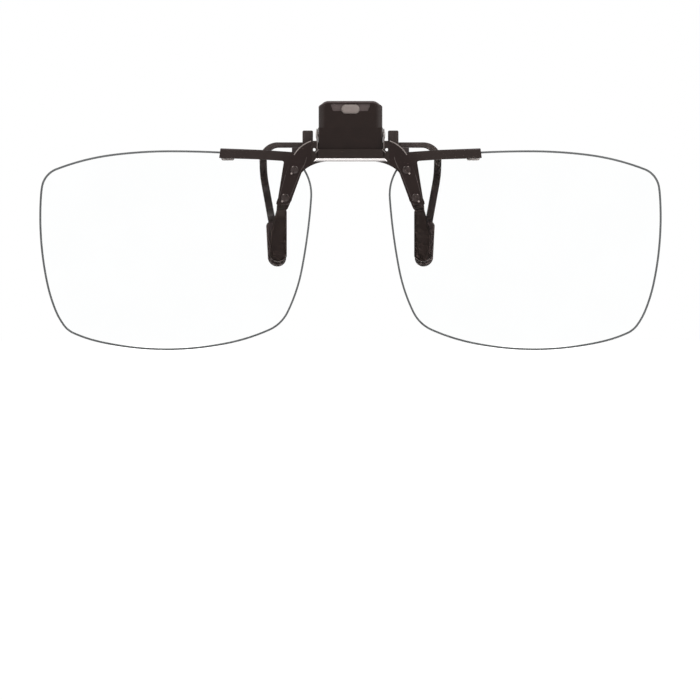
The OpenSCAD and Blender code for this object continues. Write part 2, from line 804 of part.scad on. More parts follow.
// The two edges of the arm's side view, half a thickness to either side of its middle
function arm_edge(side, extra) = [
    for (i = [0 : ARM_STEPS])
        let (
            z = bow_top + (bow_low - bow_top) * i / ARM_STEPS,
            slope = (arm_depth(z + 0.01) - arm_depth(z - 0.01)) / 0.02
        )
        [arm_depth(z), z] + side * (arm_t / 2 + extra) * [1, -slope] / norm([1, slope])
];

module arm_side(extra) {
    half = arm_t / 2 + extra;
    front = arm_edge(-1, extra);
    back = arm_edge(1, extra);
    polygon(concat(
        [[arm_y - half, arm_z + arm_w]], front, [[rear_pad_y - half, arm_end_z - past]],
        [[rear_pad_y + half, arm_end_z - past]], [for (i = [ARM_STEPS : -1 : 0]) back[i]],
        [[arm_y + half, arm_z + arm_w]]
    ));
}

module arm_body(extra) intersection() {
    upright(-past, arm_back_limit) arm_front(extra);
    sideways(0, arm_side_limit) arm_side(extra);
}

module rear_arm() color(grey_metal) difference() {
    arm_body(0);
    deep_bar([arm_rivet_x, arm_z], rivet_r + fixed_gap, clamp_front, clamp_back + arm_t + past);
}

module arm_rivets() color(grey_metal) both_sides() {
    deep_bar([arm_rivet_x, arm_z], rivet_r, clamp_front, clamp_back + arm_t);
    translate([arm_rivet_x, clamp_back + arm_t, arm_z]) rotate([-90, 0, 0]) dome(rivet_head_r, rivet_head_h);
}

module rear_pad() color(rubber_black) difference() {
    upright(rear_pad_front, rear_pad_front + pad_t)
        pad_shape(rear_pad_x, rear_pad_w, rear_taper, rear_pad_top, rear_pad_low, pad_end_r);
    arm_body(fixed_gap);
}

// Torsion spring: one wire, wound on the clamp pin, with a leg against each plate
RINGS = 8;
WIRE_SIDES = 6;
coil_len = curls * curl_pitch;
turns = curls + 0.5;
spring_leg_top = housing_step - 0.3;
spring_leg_low = clamp_z + 0.5;
leg_gap = wire_d / 2 + fixed_gap;
coil_end = coil_len / 2 + curl_pitch / 2;

function coil_point(t) = [
    -coil_len / 2 + t * curl_pitch,
    clamp_y - coil_r * cos(360 * t),
    clamp_z - coil_r * sin(360 * t)
];

spring_path = concat(
    [[-coil_len / 2 - 2 * fixed_gap, base_back + leg_gap, spring_leg_top]],
    [[-coil_len / 2 - fixed_gap, clamp_y - coil_r - fixed_gap, spring_leg_low]],
    [for (i = [0 : turns * RINGS]) coil_point(i / RINGS)],
    [[coil_end + fixed_gap, clamp_y + coil_r + fixed_gap, spring_leg_low]],
    [[coil_end + 2 * fixed_gap, clamp_front - leg_gap, spring_leg_top]]
);

function unit(v) = v / norm(v);

// One ring of the wire's surface around a point of the path
function wire_ring(i) =
    let (
        last = len(spring_path) - 1,
        t = unit(spring_path[min(last, i + 1)] - spring_path[max(0, i - 1)]),
        side = unit([1, 0, 0] - t[0] * t),
        up = cross(t, side)
    )
    [for (k = [0 : WIRE_SIDES - 1])
        spring_path[i] + wire_d / 2 * (side * cos(360 * k / WIRE_SIDES) + up * sin(360 * k / WIRE_SIDES))];

// Least distance between the wire's own surfaces one curl apart
function wire_gap() = min([
    for (i = [0 : turns * RINGS - RINGS])
        for (j = [i + RINGS - 2 : min(i + RINGS + 2, turns * RINGS)])
            norm(coil_point(i / RINGS) - coil_point(j / RINGS))
]) - wire_d;

module torsion_spring() color(bright_metal) {
    rings = [for (i = [0 : len(spring_path) - 1]) wire_ring(i)];
    count = len(rings);
    echo(least_self_gap = wire_gap());
    polyhedron(
        points = [for (r = rings) for (p = r) p],
        faces = concat(
            [for (k = [1 : WIRE_SIDES - 2]) [0, k + 1, k]],
            [for (i = [0 : count - 2]) for (k = [0 : WIRE_SIDES - 1]) let (
                a = i * WIRE_SIDES + k,
                b = i * WIRE_SIDES + (k + 1) % WIRE_SIDES
            ) each [[a, b, b + WIRE_SIDES], [a, b + WIRE_SIDES, a + WIRE_SIDES]]],
            [for (k = [1 : WIRE_SIDES - 2]) (count - 1) * WIRE_SIDES * [1, 1, 1] + [0, k, k + 1]]
        )
    );
}

module left() mirror([1, 0, 0]) children();

front_housing();
base_plate();
left() front_leg();  // front_leg_left
front_leg();  // front_leg_right
left() front_pad();  // front_pad_left
front_pad();  // front_pad_right
detent_leaf();
clamp_pin();
torsion_spring();
leg_rivets();
flip_bridge();
bridge_lip();
left() lens_bracket();  // lens_bracket_left
lens_bracket();  // lens_bracket_right
flip_pin();
flip_cam();
left() lens();  // lens_left
lens();  // lens_right
left() lens_screws();  // lens_screws_left
lens_screws();  // lens_screws_right
left() lens_sleeves();  // lens_sleeves_left
lens_sleeves();  // lens_sleeves_right
left() lens_washers();  // lens_washers_left
lens_washers();  // lens_washers_right
left() lens_nuts();  // lens_nuts_left
lens_nuts();  // lens_nuts_right
left() fold_liner();  // fold_liner_left
fold_liner();  // fold_liner_right
clamp_plate();
left() rear_arm();  // rear_arm_left
rear_arm();  // rear_arm_right
left() rear_pad();  // rear_pad_left
rear_pad();  // rear_pad_right
arm_rivets();
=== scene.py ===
import math

import bmesh
import bpy
from mathutils import Matrix, Vector
from mathutils.geometry import tessellate_polygon

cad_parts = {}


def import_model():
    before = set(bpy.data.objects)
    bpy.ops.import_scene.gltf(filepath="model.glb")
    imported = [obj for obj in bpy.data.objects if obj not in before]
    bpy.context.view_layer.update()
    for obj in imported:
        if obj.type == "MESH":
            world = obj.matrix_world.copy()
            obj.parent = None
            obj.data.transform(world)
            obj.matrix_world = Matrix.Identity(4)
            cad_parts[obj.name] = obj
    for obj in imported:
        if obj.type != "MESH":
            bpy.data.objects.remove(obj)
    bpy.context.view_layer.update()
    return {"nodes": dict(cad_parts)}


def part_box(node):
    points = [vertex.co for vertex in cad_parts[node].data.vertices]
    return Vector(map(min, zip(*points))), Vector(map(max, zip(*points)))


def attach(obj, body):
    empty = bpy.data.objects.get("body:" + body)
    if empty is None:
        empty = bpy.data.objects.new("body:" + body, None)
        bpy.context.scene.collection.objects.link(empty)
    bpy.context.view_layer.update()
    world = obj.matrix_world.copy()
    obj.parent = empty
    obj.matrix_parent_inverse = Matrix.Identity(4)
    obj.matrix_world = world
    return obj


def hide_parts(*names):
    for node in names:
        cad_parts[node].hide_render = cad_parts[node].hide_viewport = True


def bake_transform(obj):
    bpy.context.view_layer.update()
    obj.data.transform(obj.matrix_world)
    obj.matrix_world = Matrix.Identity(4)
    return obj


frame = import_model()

# Clip-on glasses that flip up. Sizes and places are in millimetres until a mesh is made: x across, y from
# front to back, z up. Sided pieces are drawn on the viewer's right and mirrored for the left.

MM = 0.001
NODES = frame["nodes"]

# Sizes that several pieces share
HOUSING_HALF = 6.8
FLIP = (-2.725, 22.85)                  # flip axis as (y, z)
CLAMP = (0.2, 21.5)                     # clamp axis as (y, z)
SHEET_FRONT, SHEET_BACK = -5.1, -4.4    # faces of the flip frame's sheet
SEAM = 8.2                              # x where the bridge and a bracket meet
ARCH = (4.62, 9.05, 8.1)                # circle of the arch over the nose: x, z and radius
LENS_R, LENS_T = 260.0, 1.5             # radius of the front face, and thickness
LENS_FRONT, LENS_BACK = -4.2, -2.7      # depths of the two faces at the apex
APEX = (19.65, 12.0)                    # where the lens reaches furthest forward
SCREWS = ((11.75, 15.4), (13.7, 9.55))
SIDES = ("right", "left")


# Outlines

def fractions(steps):
    """Even steps from 0 to 1."""
    return [i / steps for i in range(steps + 1)]


def arc(cx, cz, r, start, end, steps):
    """Points of a circle between two angles in degrees."""
    angles = [math.radians(start + (end - start) * t) for t in fractions(steps)]
    return [(cx + r * math.cos(a), cz + r * math.sin(a)) for a in angles]


def circle(cx, cz, r, count):
    return arc(cx, cz, r, 0, 360 - 360 / count, count - 1)


def pairs(loop):
    """Each point of a closed loop with the next one."""
    return zip(loop, loop[1:] + loop[:1])


def ccw(loop):
    """The loop turned counter-clockwise."""
    area = sum(a[0] * b[1] - b[0] * a[1] for a, b in pairs(loop))
    return loop if area > 0 else loop[::-1]


def clean(loop, least=1e-4):
    """The loop without points that lie on the one before."""
    out = []
    for p in loop:
        if not out or math.dist(p, out[-1]) > least:
            out.append(p)
    if math.dist(out[0], out[-1]) <= least:
        out.pop()
    return out


def mirrored(loop):
    return [(-x, z) for x, z in loop][::-1]


def inset(loop, dists):
    """Move each edge of a counter-clockwise loop inwards by its own distance."""
    nearly_straight = 0.02
    out = []
    for i in range(len(loop)):
        p0, p, p1 = Vector(loop[i - 1]), Vector(loop[i]), Vector(loop[(i + 1) % len(loop)])
        d0, d1 = (p - p0).normalized(), (p1 - p).normalized()
        n0, n1 = Vector((-d0.y, d0.x)), Vector((-d1.y, d1.x))
        a, b = dists[i - 1], dists[i]
        cross = d0.x * d1.y - d0.y * d1.x
        if abs(cross) < nearly_straight:
            out.append(tuple(p + (n0 * a + n1 * b) / 2))
        else:
            q0, q1 = p + n0 * a, p + n1 * b
            t = ((q1 - q0).x * d1.y - (q1 - q0).y * d1.x) / cross
            out.append(tuple(q0 + d0 * t))
    return out


def rounded(points, radii, steps=6):
    """Round the corners of a closed outline, each by its own radius where its edges leave room for it."""
    straight = math.radians(178.5)
    out = []
    for i, r in enumerate(radii):
        p0, p, p1 = Vector(points[i - 1]), Vector(points[i]), Vector(points[(i + 1) % len(points)])
        a, b = p0 - p, p1 - p
        angle = a.angle(b)
        if r <= 0 or angle > straight:
            out.append(tuple(p))
            continue
        t = min(r / math.tan(angle / 2), a.length * 0.49, b.length * 0.49)
        r = t * math.tan(angle / 2)
        a.normalize()
        b.normalize()
        centre = p + (a + b).normalized() * (r / math.sin(angle / 2))
        start, end = p + a * t - centre, p + b * t - centre
        turn = start.angle_signed(end)
        for share in fractions(steps):
            v = start.copy()
            v.rotate(Matrix.Rotation(-turn * share, 2))
            out.append(tuple(centre + v))
    return clean(out)


# Mesh data: vertices, faces and the faces' material numbers

FRONT = lambda u, v, w: (u, w, v)      # outline across and up, depth along y
SIDE = lambda u, v, w: (w, u, v)       # outline in depth and up, run along x
TOP = lambda u, v, w: (u, v, w)        # outline across and in depth, run along z


def plate_data(loops, near, far, bevel=0.1, steps=3, place=FRONT, mids=(), shares=None, far_bevel=None,
               edge_mat=None):
    """A plate between two depths with rounded edges. The first loop is its outline, and the others are
    holes. shares gives each outline edge's share of the bevel, mids the depths of more rings on the
    sides, and edge_mat(loop, edge, row) the material number of a face there."""
    far_bevel = bevel if far_bevel is None else far_bevel
    loops = [ccw(clean(loops[0]))] + [ccw(clean(hole))[::-1] for hole in loops[1:]]
    shares = [shares or [1.0] * len(loops[0])] + [[1.0] * len(hole) for hole in loops[1:]]
    angles = [math.pi / 2 * t for t in fractions(steps)]
    levels = [(bevel * (1 - math.sin(a)), near + bevel * (1 - math.cos(a))) for a in angles]
    levels += [(0.0, depth) for depth in mids]
    levels += [(far_bevel * (1 - math.sin(a)), far - far_bevel * (1 - math.cos(a))) for a in angles[::-1]]
    verts, faces, mats, rows = [], [], [], []
    for inward, depth in levels:
        rings = [inset(loop, [inward * s for s in part]) if inward > 0 else loop
                 for loop, part in zip(loops, shares)]
        rows.append((len(verts), rings))
        verts += [place(u, v, depth) for ring in rings for u, v in ring]
    for k, ((low, _), (high, _)) in enumerate(zip(rows, rows[1:])):
        for number, loop in enumerate(loops):
            n = len(loop)
            for i in range(n):
                i1 = (i + 1) % n
                faces.append((low + i, low + i1, high + i1, high + i))
                mats.append(edge_mat(number, i, k) if edge_mat else 0)
            low += n
            high += n
    for first, rings in (rows[0], rows[-1]):
        for tri in tessellate_polygon([[Vector((u, v, 0)) for u, v in ring] for ring in rings]):
            faces.append(tuple(first + t for t in tri))
            mats.append(0)
    return verts, faces, mats


def skin(rings):
    """A closed surface over rings of points, with a face over the first and last ring."""
    n = len(rings[0])
    faces = []
    for row in range(0, (len(rings) - 1) * n, n):
        for i in range(n):
            i1 = (i + 1) % n
            faces.append((row + i, row + i1, row + n + i1, row + n + i))
    faces.append(tuple(range(n))[::-1])
    faces.append(tuple(range((len(rings) - 1) * n, len(rings) * n)))
    return [p for ring in rings for p in ring], faces, [0] * len(faces)


def lathe(profile, count, centre, axis="y"):
    """Turn a profile of (distance along the axis, radius) about a line through centre."""
    rings = []
    for along, r in profile:
        turns = circle(0, 0, r, count)
        offsets = [(c, along, s) if axis == "y" else (along, c, s) for c, s in turns]
        rings.append([tuple(p + q for p, q in zip(centre, offset)) for offset in offsets])
    return skin(rings)


def sweep(path, frames, sections):
    """Carry closed sections along a path; a frame gives the directions of a section's two numbers."""
    return skin([[tuple(p + side * a + up * b) for a, b in section]
                 for p, (side, up), section in zip(path, frames, sections)])


def tube(path, r, count=8):
    """A round wire along a path, with frames carried along so that it doesn't twist."""
    points = [Vector(p) for p in path]
    side = (points[1] - points[0]).orthogonal().normalized()
    frames = []
    for before, after in zip(points[:1] + points, points[1:] + points[-1:]):
        along = (after - before).normalized()
        side = (side - along * side.dot(along)).normalized()
        frames.append((side, along.cross(side)))
    return sweep(points, frames, [circle(0, 0, r, count)] * len(points))


def join(*parts):
    verts, faces, mats = [], [], []
    for part_verts, part_faces, part_mats in parts:
        base = len(verts)
        verts += part_verts
        faces += [tuple(i + base for i in face) for face in part_faces]
        mats += part_mats
    return verts, faces, mats


def flip_x(data):
    verts, faces, mats = data
    return [(-x, y, z) for x, y, z in verts], [face[::-1] for face in faces], mats


def recolour(data, number):
    verts, faces, _ = data
    return verts, faces, [number] * len(faces)


def drop_corners(data, above, from_x, slope, knee=0.3, reach=lambda x, y: abs(x)):
    """Cut the upper corners of an upright piece along a slanted line that starts with a soft knee."""
    verts, faces, mats = data
    out = []
    for x, y, z in verts:
        past = reach(x, y) - from_x
        if z > above and past > -knee:
            z -= slope * ((past + knee) ** 2 / (4 * knee) if past < knee else past)
        out.append((x, y, z))
    return out, faces, mats


# Pieces

SHARP = 38   # degrees between two faces above which their edge stays sharp


def weigh_normals(obj):
    mod = obj.modifiers.new("normals", "WEIGHTED_NORMAL")
    mod.keep_sharp = True
    mod.weight = 80


def split_materials(mesh):
    """Mark the border between two materials as a sharp edge."""
    seen = {}
    for poly in mesh.polygons:
        for key in poly.edge_keys:
            seen.setdefault(key, set()).add(poly.material_index)
    for edge in mesh.edges:
        if len(seen[edge.key]) > 1:
            edge.use_edge_sharp = True


def make(name, data, mats, sharp=SHARP, weighted=True):
    """An object from mesh data in millimetres."""
    verts, faces, numbers = data
    mesh = bpy.data.meshes.new(name)
    mesh.from_pydata([(x * MM, y * MM, z * MM) for x, y, z in verts], [], faces)
    for mat in mats:
        mesh.materials.append(mat)
    mesh.polygons.foreach_set("material_index", numbers)
    bm = bmesh.new()
    bm.from_mesh(mesh)
    bmesh.ops.remove_doubles(bm, verts=bm.verts, dist=1e-8)
    bmesh.ops.recalc_face_normals(bm, faces=bm.faces)
    bm.to_mesh(mesh)
    bm.free()
    mesh.validate()
    mesh.shade_smooth()
    mesh.set_sharp_from_angle(angle=math.radians(sharp))
    obj = bpy.data.objects.new(name, mesh)
    bpy.context.scene.collection.objects.link(obj)
    if weighted:
        weigh_normals(obj)
    return obj


def settle(obj, body, slot, *nodes):
    """Give a piece its body, and let it stand for its CAD nodes by hiding them. The slot is not used."""
    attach(obj, body)
    if nodes:
        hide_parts(*nodes)


def piece(name, data, mats, body, slot, *nodes, **shading):
    obj = make(name, data, mats, **shading)
    settle(obj, body, slot, *nodes)
    return obj


def sided(side, name, data, mats, body, slot, node=None, **shading):
    """A piece drawn on the right, or its mirror image on the left."""
    if side == "left":
        data = flip_x(data)
    nodes = [node + "_" + side] if node else []
    return piece(name + "_" + side, data, mats, body, slot, *nodes, **shading)


def carve(obj, cutter):
    """Cut one piece from another and keep the result as its mesh."""
    mod = obj.modifiers.new("cut", "BOOLEAN")
    mod.object, mod.operation, mod.solver = cutter, "DIFFERENCE", "EXACT"
    mod.material_mode = "TRANSFER"
    bpy.context.view_layer.update()
    obj.data = bpy.data.meshes.new_from_object(obj.evaluated_get(bpy.context.evaluated_depsgraph_get()))
    obj.modifiers.clear()
    bpy.data.objects.remove(cutter)


def absorb(obj, other):
    """Add another piece's mesh to a piece."""
    bm = bmesh.new()
    bm.from_mesh(obj.data)
    bm.from_mesh(other.data)
    bm.to_mesh(obj.data)
    bm.free()
    bpy.data.objects.remove(other)
    obj.data.shade_smooth()
    obj.data.set_sharp_from_angle(angle=math.radians(SHARP))
    weigh_normals(obj)


# Node trees

class Tree:
    """A small helper for the node tree of a world or material."""

    def __init__(self, owner):
        owner.use_nodes = True
        self.nodes = owner.node_tree.nodes
        self.links = owner.node_tree.links

    def put(self, node, name, value):
        """Link a socket to a node's input, or give the input a fixed value."""
        if isinstance(value, bpy.types.NodeSocket):
            self.links.new(value, node.inputs[name])
        else:
            node.inputs[name].default_value = value

    def add(self, kind, inputs=None, **settings):
        """A new node. inputs has sockets or fixed values, by the name or number of the input."""
        node = self.nodes.new(kind)
        for name, value in settings.items():
            setattr(node, name, value)
        for name, value in (inputs or {}).items():
            self.put(node, name, value)
        return node

    def join(self, kind, operation, a, b):
        """The number that a maths node makes of two inputs."""
        return self.add(kind, {0: a, 1: b}, operation=operation).outputs["Value"]

    def span(self, source, low, high, at_low=0.3, at_high=0.7):
        """low to high while the source goes from at_low to at_high."""
        values = {"Value": source, "From Min": at_low, "From Max": at_high, "To Min": low, "To Max": high}
        return self.add("ShaderNodeMapRange", values).outputs["Result"]

    def seen_rays(self):
        """1 for rays from the camera, and for rays that metal and glass send on."""
        path = self.add("ShaderNodeLightPath").outputs
        sharp = self.join("ShaderNodeMath", "MAXIMUM", path["Is Camera Ray"], path["Is Glossy Ray"])
        return self.join("ShaderNodeMath", "MAXIMUM", sharp, path["Is Transmission Ray"])


class Look(Tree):
    """The node tree of a material, around its Principled shader."""

    def __init__(self, name):
        self.mat = bpy.data.materials.new(name)
        super().__init__(self.mat)
        self.shader = self.nodes["Principled BSDF"]
        self.own = self.shader.outputs["BSDF"]
        self.coords = self.add("ShaderNodeTexCoord").outputs["Object"]

    def feed(self, name, value):
        """Give the shader one of its inputs."""
        self.put(self.shader, name, value)

    def surface(self, share, a, b):
        """Make the surface a mix of two shaders."""
        mix = self.add("ShaderNodeMixShader", {"Fac": share, 1: a, 2: b})
        self.put(self.nodes["Material Output"], "Surface", mix.outputs["Shader"])

    def noise(self, scale, detail=3.0, rough=0.6, stretch=None):
        place = self.coords
        if stretch:
            place = self.add("ShaderNodeMapping", {"Vector": place, "Scale": stretch}).outputs["Vector"]
        values = {"Vector": place, "Scale": scale, "Detail": detail, "Roughness": rough}
        return self.add("ShaderNodeTexNoise", values).outputs["Fac"]

    def ramp(self, source, dark, light, at_light=0.7):
        node = self.add("ShaderNodeValToRGB", {"Fac": source})
        first, last = node.color_ramp.elements
        first.position, first.color = 0.3, (*dark, 1)
        last.position, last.color = at_light, (*light, 1)
        return node.outputs["Color"]

    def blend(self, share, a, b):
        node = self.add("ShaderNodeMix", {"Factor": share, "A": a, "B": b}, data_type="RGBA")
        return node.outputs["Result"]

    def bump(self, source, strength, distance):
        values = {"Height": source, "Strength": strength, "Distance": distance}
        self.feed("Normal", self.add("ShaderNodeBump", values).outputs["Normal"])

    def edges(self, radius, low, high):
        """1 along edges and 0 on the faces between them."""
        soft = self.add("ShaderNodeBevel", {"Radius": radius * MM}, samples=6).outputs["Normal"]
        true = self.add("ShaderNodeNewGeometry").outputs["True Normal"]
        return self.span(self.join("ShaderNodeVectorMath", "DOT_PRODUCT", soft, true), 1.0, 0.0, low, high)

    def along(self, direction, start, end):
        """0 to 1 between two distances along a direction, the same on both sides of the mirror plane."""
        sides = self.add("ShaderNodeVectorMath", {0: self.coords}, operation="ABSOLUTE").outputs["Vector"]
        reach = self.join("ShaderNodeVectorMath", "DOT_PRODUCT", sides, direction)
        return self.span(reach, 0.0, 1.0, start * MM, end * MM)

    def coat(self, cloud, dark, light, painted_light, at_light=0.7):
        """Uneven colour, and a lighter part as painted light: (direction, start, end, dark, light)."""
        colour = self.ramp(cloud, dark, light, at_light)
        if painted_light:
            direction, start, end, pale_dark, pale_light = painted_light
            pale = self.ramp(cloud, pale_dark, pale_light, at_light)
            colour = self.blend(self.along(direction, start, end), colour, pale)
        return colour


# Kinds of material

def painted(name, dark, light, rough=0.42, spec=0.12, grain=2600, bump=0.12, brushed=None, worn=None,
            painted_light=None):
    """Lacquered or plated metal: uneven colour, a fine grain, small changes of gloss, worn edges, and
    painted light on one part where given.
    """
    look = Look(name)
    cloud = look.noise(260, 4, stretch=brushed)
    colour = look.coat(cloud, dark, light, painted_light, 0.72)
    if worn:
        patches = look.span(look.noise(700), 0.25, 1.0, 0.35, 0.6)
        share = look.join("ShaderNodeMath", "MULTIPLY", look.edges(0.1, 0.75, 0.99), patches)
        bare = look.ramp(cloud, worn, [c * 1.3 for c in worn], 0.72)
        colour = look.blend(share, colour, bare)
    look.feed("Base Color", colour)
    fine = look.noise(grain, stretch=brushed)
    look.feed("Roughness", look.span(fine, rough - 0.06, rough + 0.08))
    look.bump(fine, bump, 0.00002)
    look.feed("Specular IOR Level", spec)
    return look.mat


def metal(name, dark, light, rough, stretch=(1, 1, 1)):
    """Bare steel with fine marks along one direction."""
    look = Look(name)
    marks = look.noise(1800, 4, 0.65, stretch)
    look.feed("Base Color", look.ramp(marks, dark, light))
    look.feed("Roughness", look.span(marks, rough - 0.04, rough + 0.06))
    look.bump(marks, 0.08, 0.00001)
    look.feed("Metallic", 1.0)
    return look.mat


def rubber(name, dark, light, spec, painted_light=None):
    """Moulded rubber with fine pores, and painted light on one part where given."""
    look = Look(name)
    cloud = look.noise(420, 4)
    look.feed("Base Color", look.coat(cloud, dark, light, painted_light))
    look.feed("Roughness", look.span(cloud, 0.58, 0.72))
    look.bump(look.noise(5200), 0.16, 0.00002)
    look.feed("Specular IOR Level", spec)
    return look.mat


def clear(name, tint, ior, share=1.0, mirror=1.0, haze=None):
    """Clear glass or nylon that lets the lamps through. mirror dims what it mirrors straight on, and haze
    is its lowest and highest roughness."""
    look = Look(name)
    cloud = look.noise(90)
    look.feed("Base Color", look.ramp(cloud, tint, [min(1.0, c + 0.01) for c in tint]))
    look.feed("IOR", ior)
    look.feed("Transmission Weight", share)
    look.feed("Specular Tint", (mirror, mirror, mirror, 1))
    if haze:
        look.feed("Roughness", look.span(cloud, *haze))
    else:
        look.feed("Roughness", 0.0)
    through = look.add("ShaderNodeBsdfTransparent", {"Color": (*[c * 0.97 for c in tint], 1)})
    shadow = look.add("ShaderNodeLightPath").outputs["Is Shadow Ray"]
    look.surface(shadow, look.own, through.outputs["BSDF"])
    return look.mat


# Materials, from their darkest to their lightest colour

ACROSS, UP, OUT_AND_UP = (1, 0, 0), (0, 0, 1), (1, 0, 1)
WEAR = (0.05, 0.038, 0.034)
BRUSHED = {"grain": 900, "brushed": (6, 6, 0.7), "bump": 0.18, "worn": (0.024, 0.0175, 0.0155)}

BRONZE = painted("bronze_black", (0.0106, 0.006, 0.0049), (0.014, 0.008, 0.0066), worn=WEAR)
# The brackets are painted lighter towards their outer upper ends, on the bar and its hook: painted light.
BRACKET = painted("bracket_bronze", (0.0108, 0.0058, 0.005), (0.014, 0.0078, 0.0068), worn=WEAR,
                  painted_light=(OUT_AND_UP, 30, 34, (0.0185, 0.0126, 0.011), (0.0235, 0.0164, 0.0146)))
BAND = painted("band_bronze", (0.0145, 0.0096, 0.008), (0.0185, 0.0128, 0.011),
               worn=(0.021, 0.015, 0.013))
WING = painted("wing_bronze", (0.0445, 0.0343, 0.0333), (0.055, 0.0432, 0.042),
               worn=(0.055, 0.043, 0.039))
# The lower housing's sides are painted lighter against the shade that the ears cast there.
HOUSING = painted("housing_bronze", (0.0095, 0.0052, 0.0042), (0.0125, 0.007, 0.0058),
                  painted_light=(ACROSS, 6.45, 6.75, (0.055, 0.045, 0.042), (0.072, 0.06, 0.056)))
# The tab's sides are painted lighter: a painted sheen where light glances off the bends.
TAB = painted("tab_bronze", (0.0102, 0.0058, 0.0047), (0.0135, 0.0076, 0.0062),
              painted_light=(ACROSS, 5.3, 6.8, (0.037, 0.03, 0.0284), (0.05, 0.041, 0.0388)))
# A painted highlight along the tab's top rim.
TAB_RIM = painted("tab_rim", (0.05, 0.0375, 0.0365), (0.064, 0.048, 0.0465))
# The recess is coloured lighter than the housing: a painted sheen.
RECESS = painted("recess_bronze", (0.05, 0.036, 0.034), (0.078, 0.058, 0.056), 0.5, spec=0.2)
BUMP = painted("grip_bump_grey", (0.17, 0.14, 0.13), (0.215, 0.185, 0.17), 0.5, spec=0.15, grain=3200)
# A painted highlight on the shoulder's rim.
EDGE = painted("shoulder_highlight", (0.15, 0.122, 0.112), (0.25, 0.215, 0.2), 0.32, spec=0.3)
# Painted glints on the screw heads.
SPARK = painted("painted_glint", (0.2, 0.16, 0.15), (0.3, 0.25, 0.235), 0.4, spec=0.3)
# Painted highlights on the ears, their creases and the screw heads.
HIGHLIGHT = painted("fold_highlight", (0.075, 0.062, 0.057), (0.12, 0.1, 0.093), 0.38, spec=0.3)
# Faint painted highlight lines on the bracket's crease and strap edges.
FAINT = painted("faint_edge", (0.034, 0.024, 0.021), (0.05, 0.037, 0.033), 0.36, spec=0.3)
# A painted highlight along the bar's upper edge and the strap's outer edge.
BAR_TOP = painted("bar_top", (0.052, 0.0415, 0.042), (0.066, 0.0525, 0.053))
# The front legs and rear arms are painted lighter towards their tops: painted light from above.
STRIP = painted("dark_strip", (0.0115, 0.0073, 0.0062), (0.0145, 0.0094, 0.0082), 0.4,
                painted_light=(UP, 15, 20, (0.033, 0.0245, 0.0222), (0.048, 0.0365, 0.0335)), **BRUSHED)
ARM = painted("arm_strip", (0.012, 0.0077, 0.0066), (0.0152, 0.0099, 0.0087), 0.4,
              painted_light=(UP, 16, 20.5, (0.04, 0.031, 0.0285), (0.058, 0.046, 0.0425)), **BRUSHED)
FASTENER = painted("dark_fastener", (0.019, 0.0115, 0.01), (0.028, 0.018, 0.016), 0.34, spec=0.2,
                   worn=(0.06, 0.046, 0.042))
LENS_EDGE = painted("lens_edge_ground", (0.075, 0.079, 0.08), (0.1, 0.104, 0.105), 0.5, spec=0.2,
                    grain=5000, bump=0.2)
# The front pad is dark, and painted lighter towards its top against the shade that the bracket casts there.
PAD = rubber("pad_rubber", (0.0095, 0.0063, 0.0054), (0.0112, 0.0074, 0.0064), 0.05,
             painted_light=(UP, 5.2, 6.4, (0.0165, 0.0118, 0.0105), (0.0195, 0.014, 0.0125)))
# The rear pad is the same rubber coloured lighter than the front pad, against the shade that the front pad
# and lens cast on it.
PAD_REAR = rubber("rear_pad_rubber", (0.022, 0.0145, 0.0138), (0.028, 0.019, 0.018), 0.12)
# The rear pad's lower end is coloured lighter still, against the shade there.
PAD_LIT_END = rubber("rear_pad_lit_end", (0.038, 0.0305, 0.0285), (0.048, 0.039, 0.0365), 0.12)
# The front pad's rim is coloured lighter as a painted highlight.
PAD_RIM = rubber("pad_rim", (0.04, 0.034, 0.0315), (0.055, 0.0465, 0.043), 0.12)
LINER = rubber("smoky_liner", (0.21, 0.187, 0.178), (0.25, 0.223, 0.212), 0.15)
STEEL = metal("bright_steel", (0.7, 0.68, 0.66), (0.84, 0.83, 0.81), 0.16)
PIN = metal("pin_steel", (0.7, 0.67, 0.65), (0.82, 0.8, 0.78), 0.38)
LIP = metal("polished_lip", (0.74, 0.7, 0.69), (0.8, 0.76, 0.75), 0.25, (0.4, 6, 6))
# The lip's lower edge is painted darker as shade, and is a little rougher.
LIP_LOW = metal("lip_underside", (0.58, 0.55, 0.54), (0.66, 0.63, 0.62), 0.3, (0.4, 6, 6))
SPRING = metal("spring_steel", (0.42, 0.42, 0.41), (0.6, 0.6, 0.58), 0.28)
# The lens is coated against reflections, so its index is low and it hardly mirrors the white room
GLASS = clear("lens_glass", (0.985, 0.99, 0.99), 1.005, mirror=0.04)
NYLON = clear("clear_nylon", (0.86, 0.86, 0.84), 1.45, share=0.75, haze=(0.18, 0.3))


# Front housing

TAB_TOP, TAB_STEP, HOUSING_LOW = 29.9, 24.3, 19.65
TAB_FRONT, TAB_DEPTH, TAB_HALF, TAB_R = -4.2, 1.7, 6.7, 1.0
HOUSING_BACK, HOUSING_R = -1.95, 0.32
WALL = 0.6
# The tab's upper corners are cut from CUT_X outwards
CUT_X, CUT_SLOPE, CUT_KNEE = 5.1, 0.6, 0.5
CUT_ABOVE = 27
RECESS_LOOP = [(-4.27, 29.3), (4.27, 29.3), (3.66, 27.78), (-3.66, 27.78)]
RECESS_DEPTH = 0.25


def channel(half, back, r, steps=8):
    """Outline of the bent sheet seen from above, with outer corners of radius r."""
    inner_r = max(0.05, r - WALL)
    in_x, in_y = half - WALL - inner_r, TAB_FRONT + WALL + inner_r
    out = [(-half, back)] + arc(-half + r, TAB_FRONT + r, r, 180, 270, steps)
    out += arc(half - r, TAB_FRONT + r, r, 270, 360, steps) + [(half, back)]
    out += [(half - WALL, back)] + arc(in_x, in_y, inner_r, 360, 270, steps)
    out += arc(-in_x, in_y, inner_r, 270, 180, steps) + [(-half + WALL, back)]
    return out


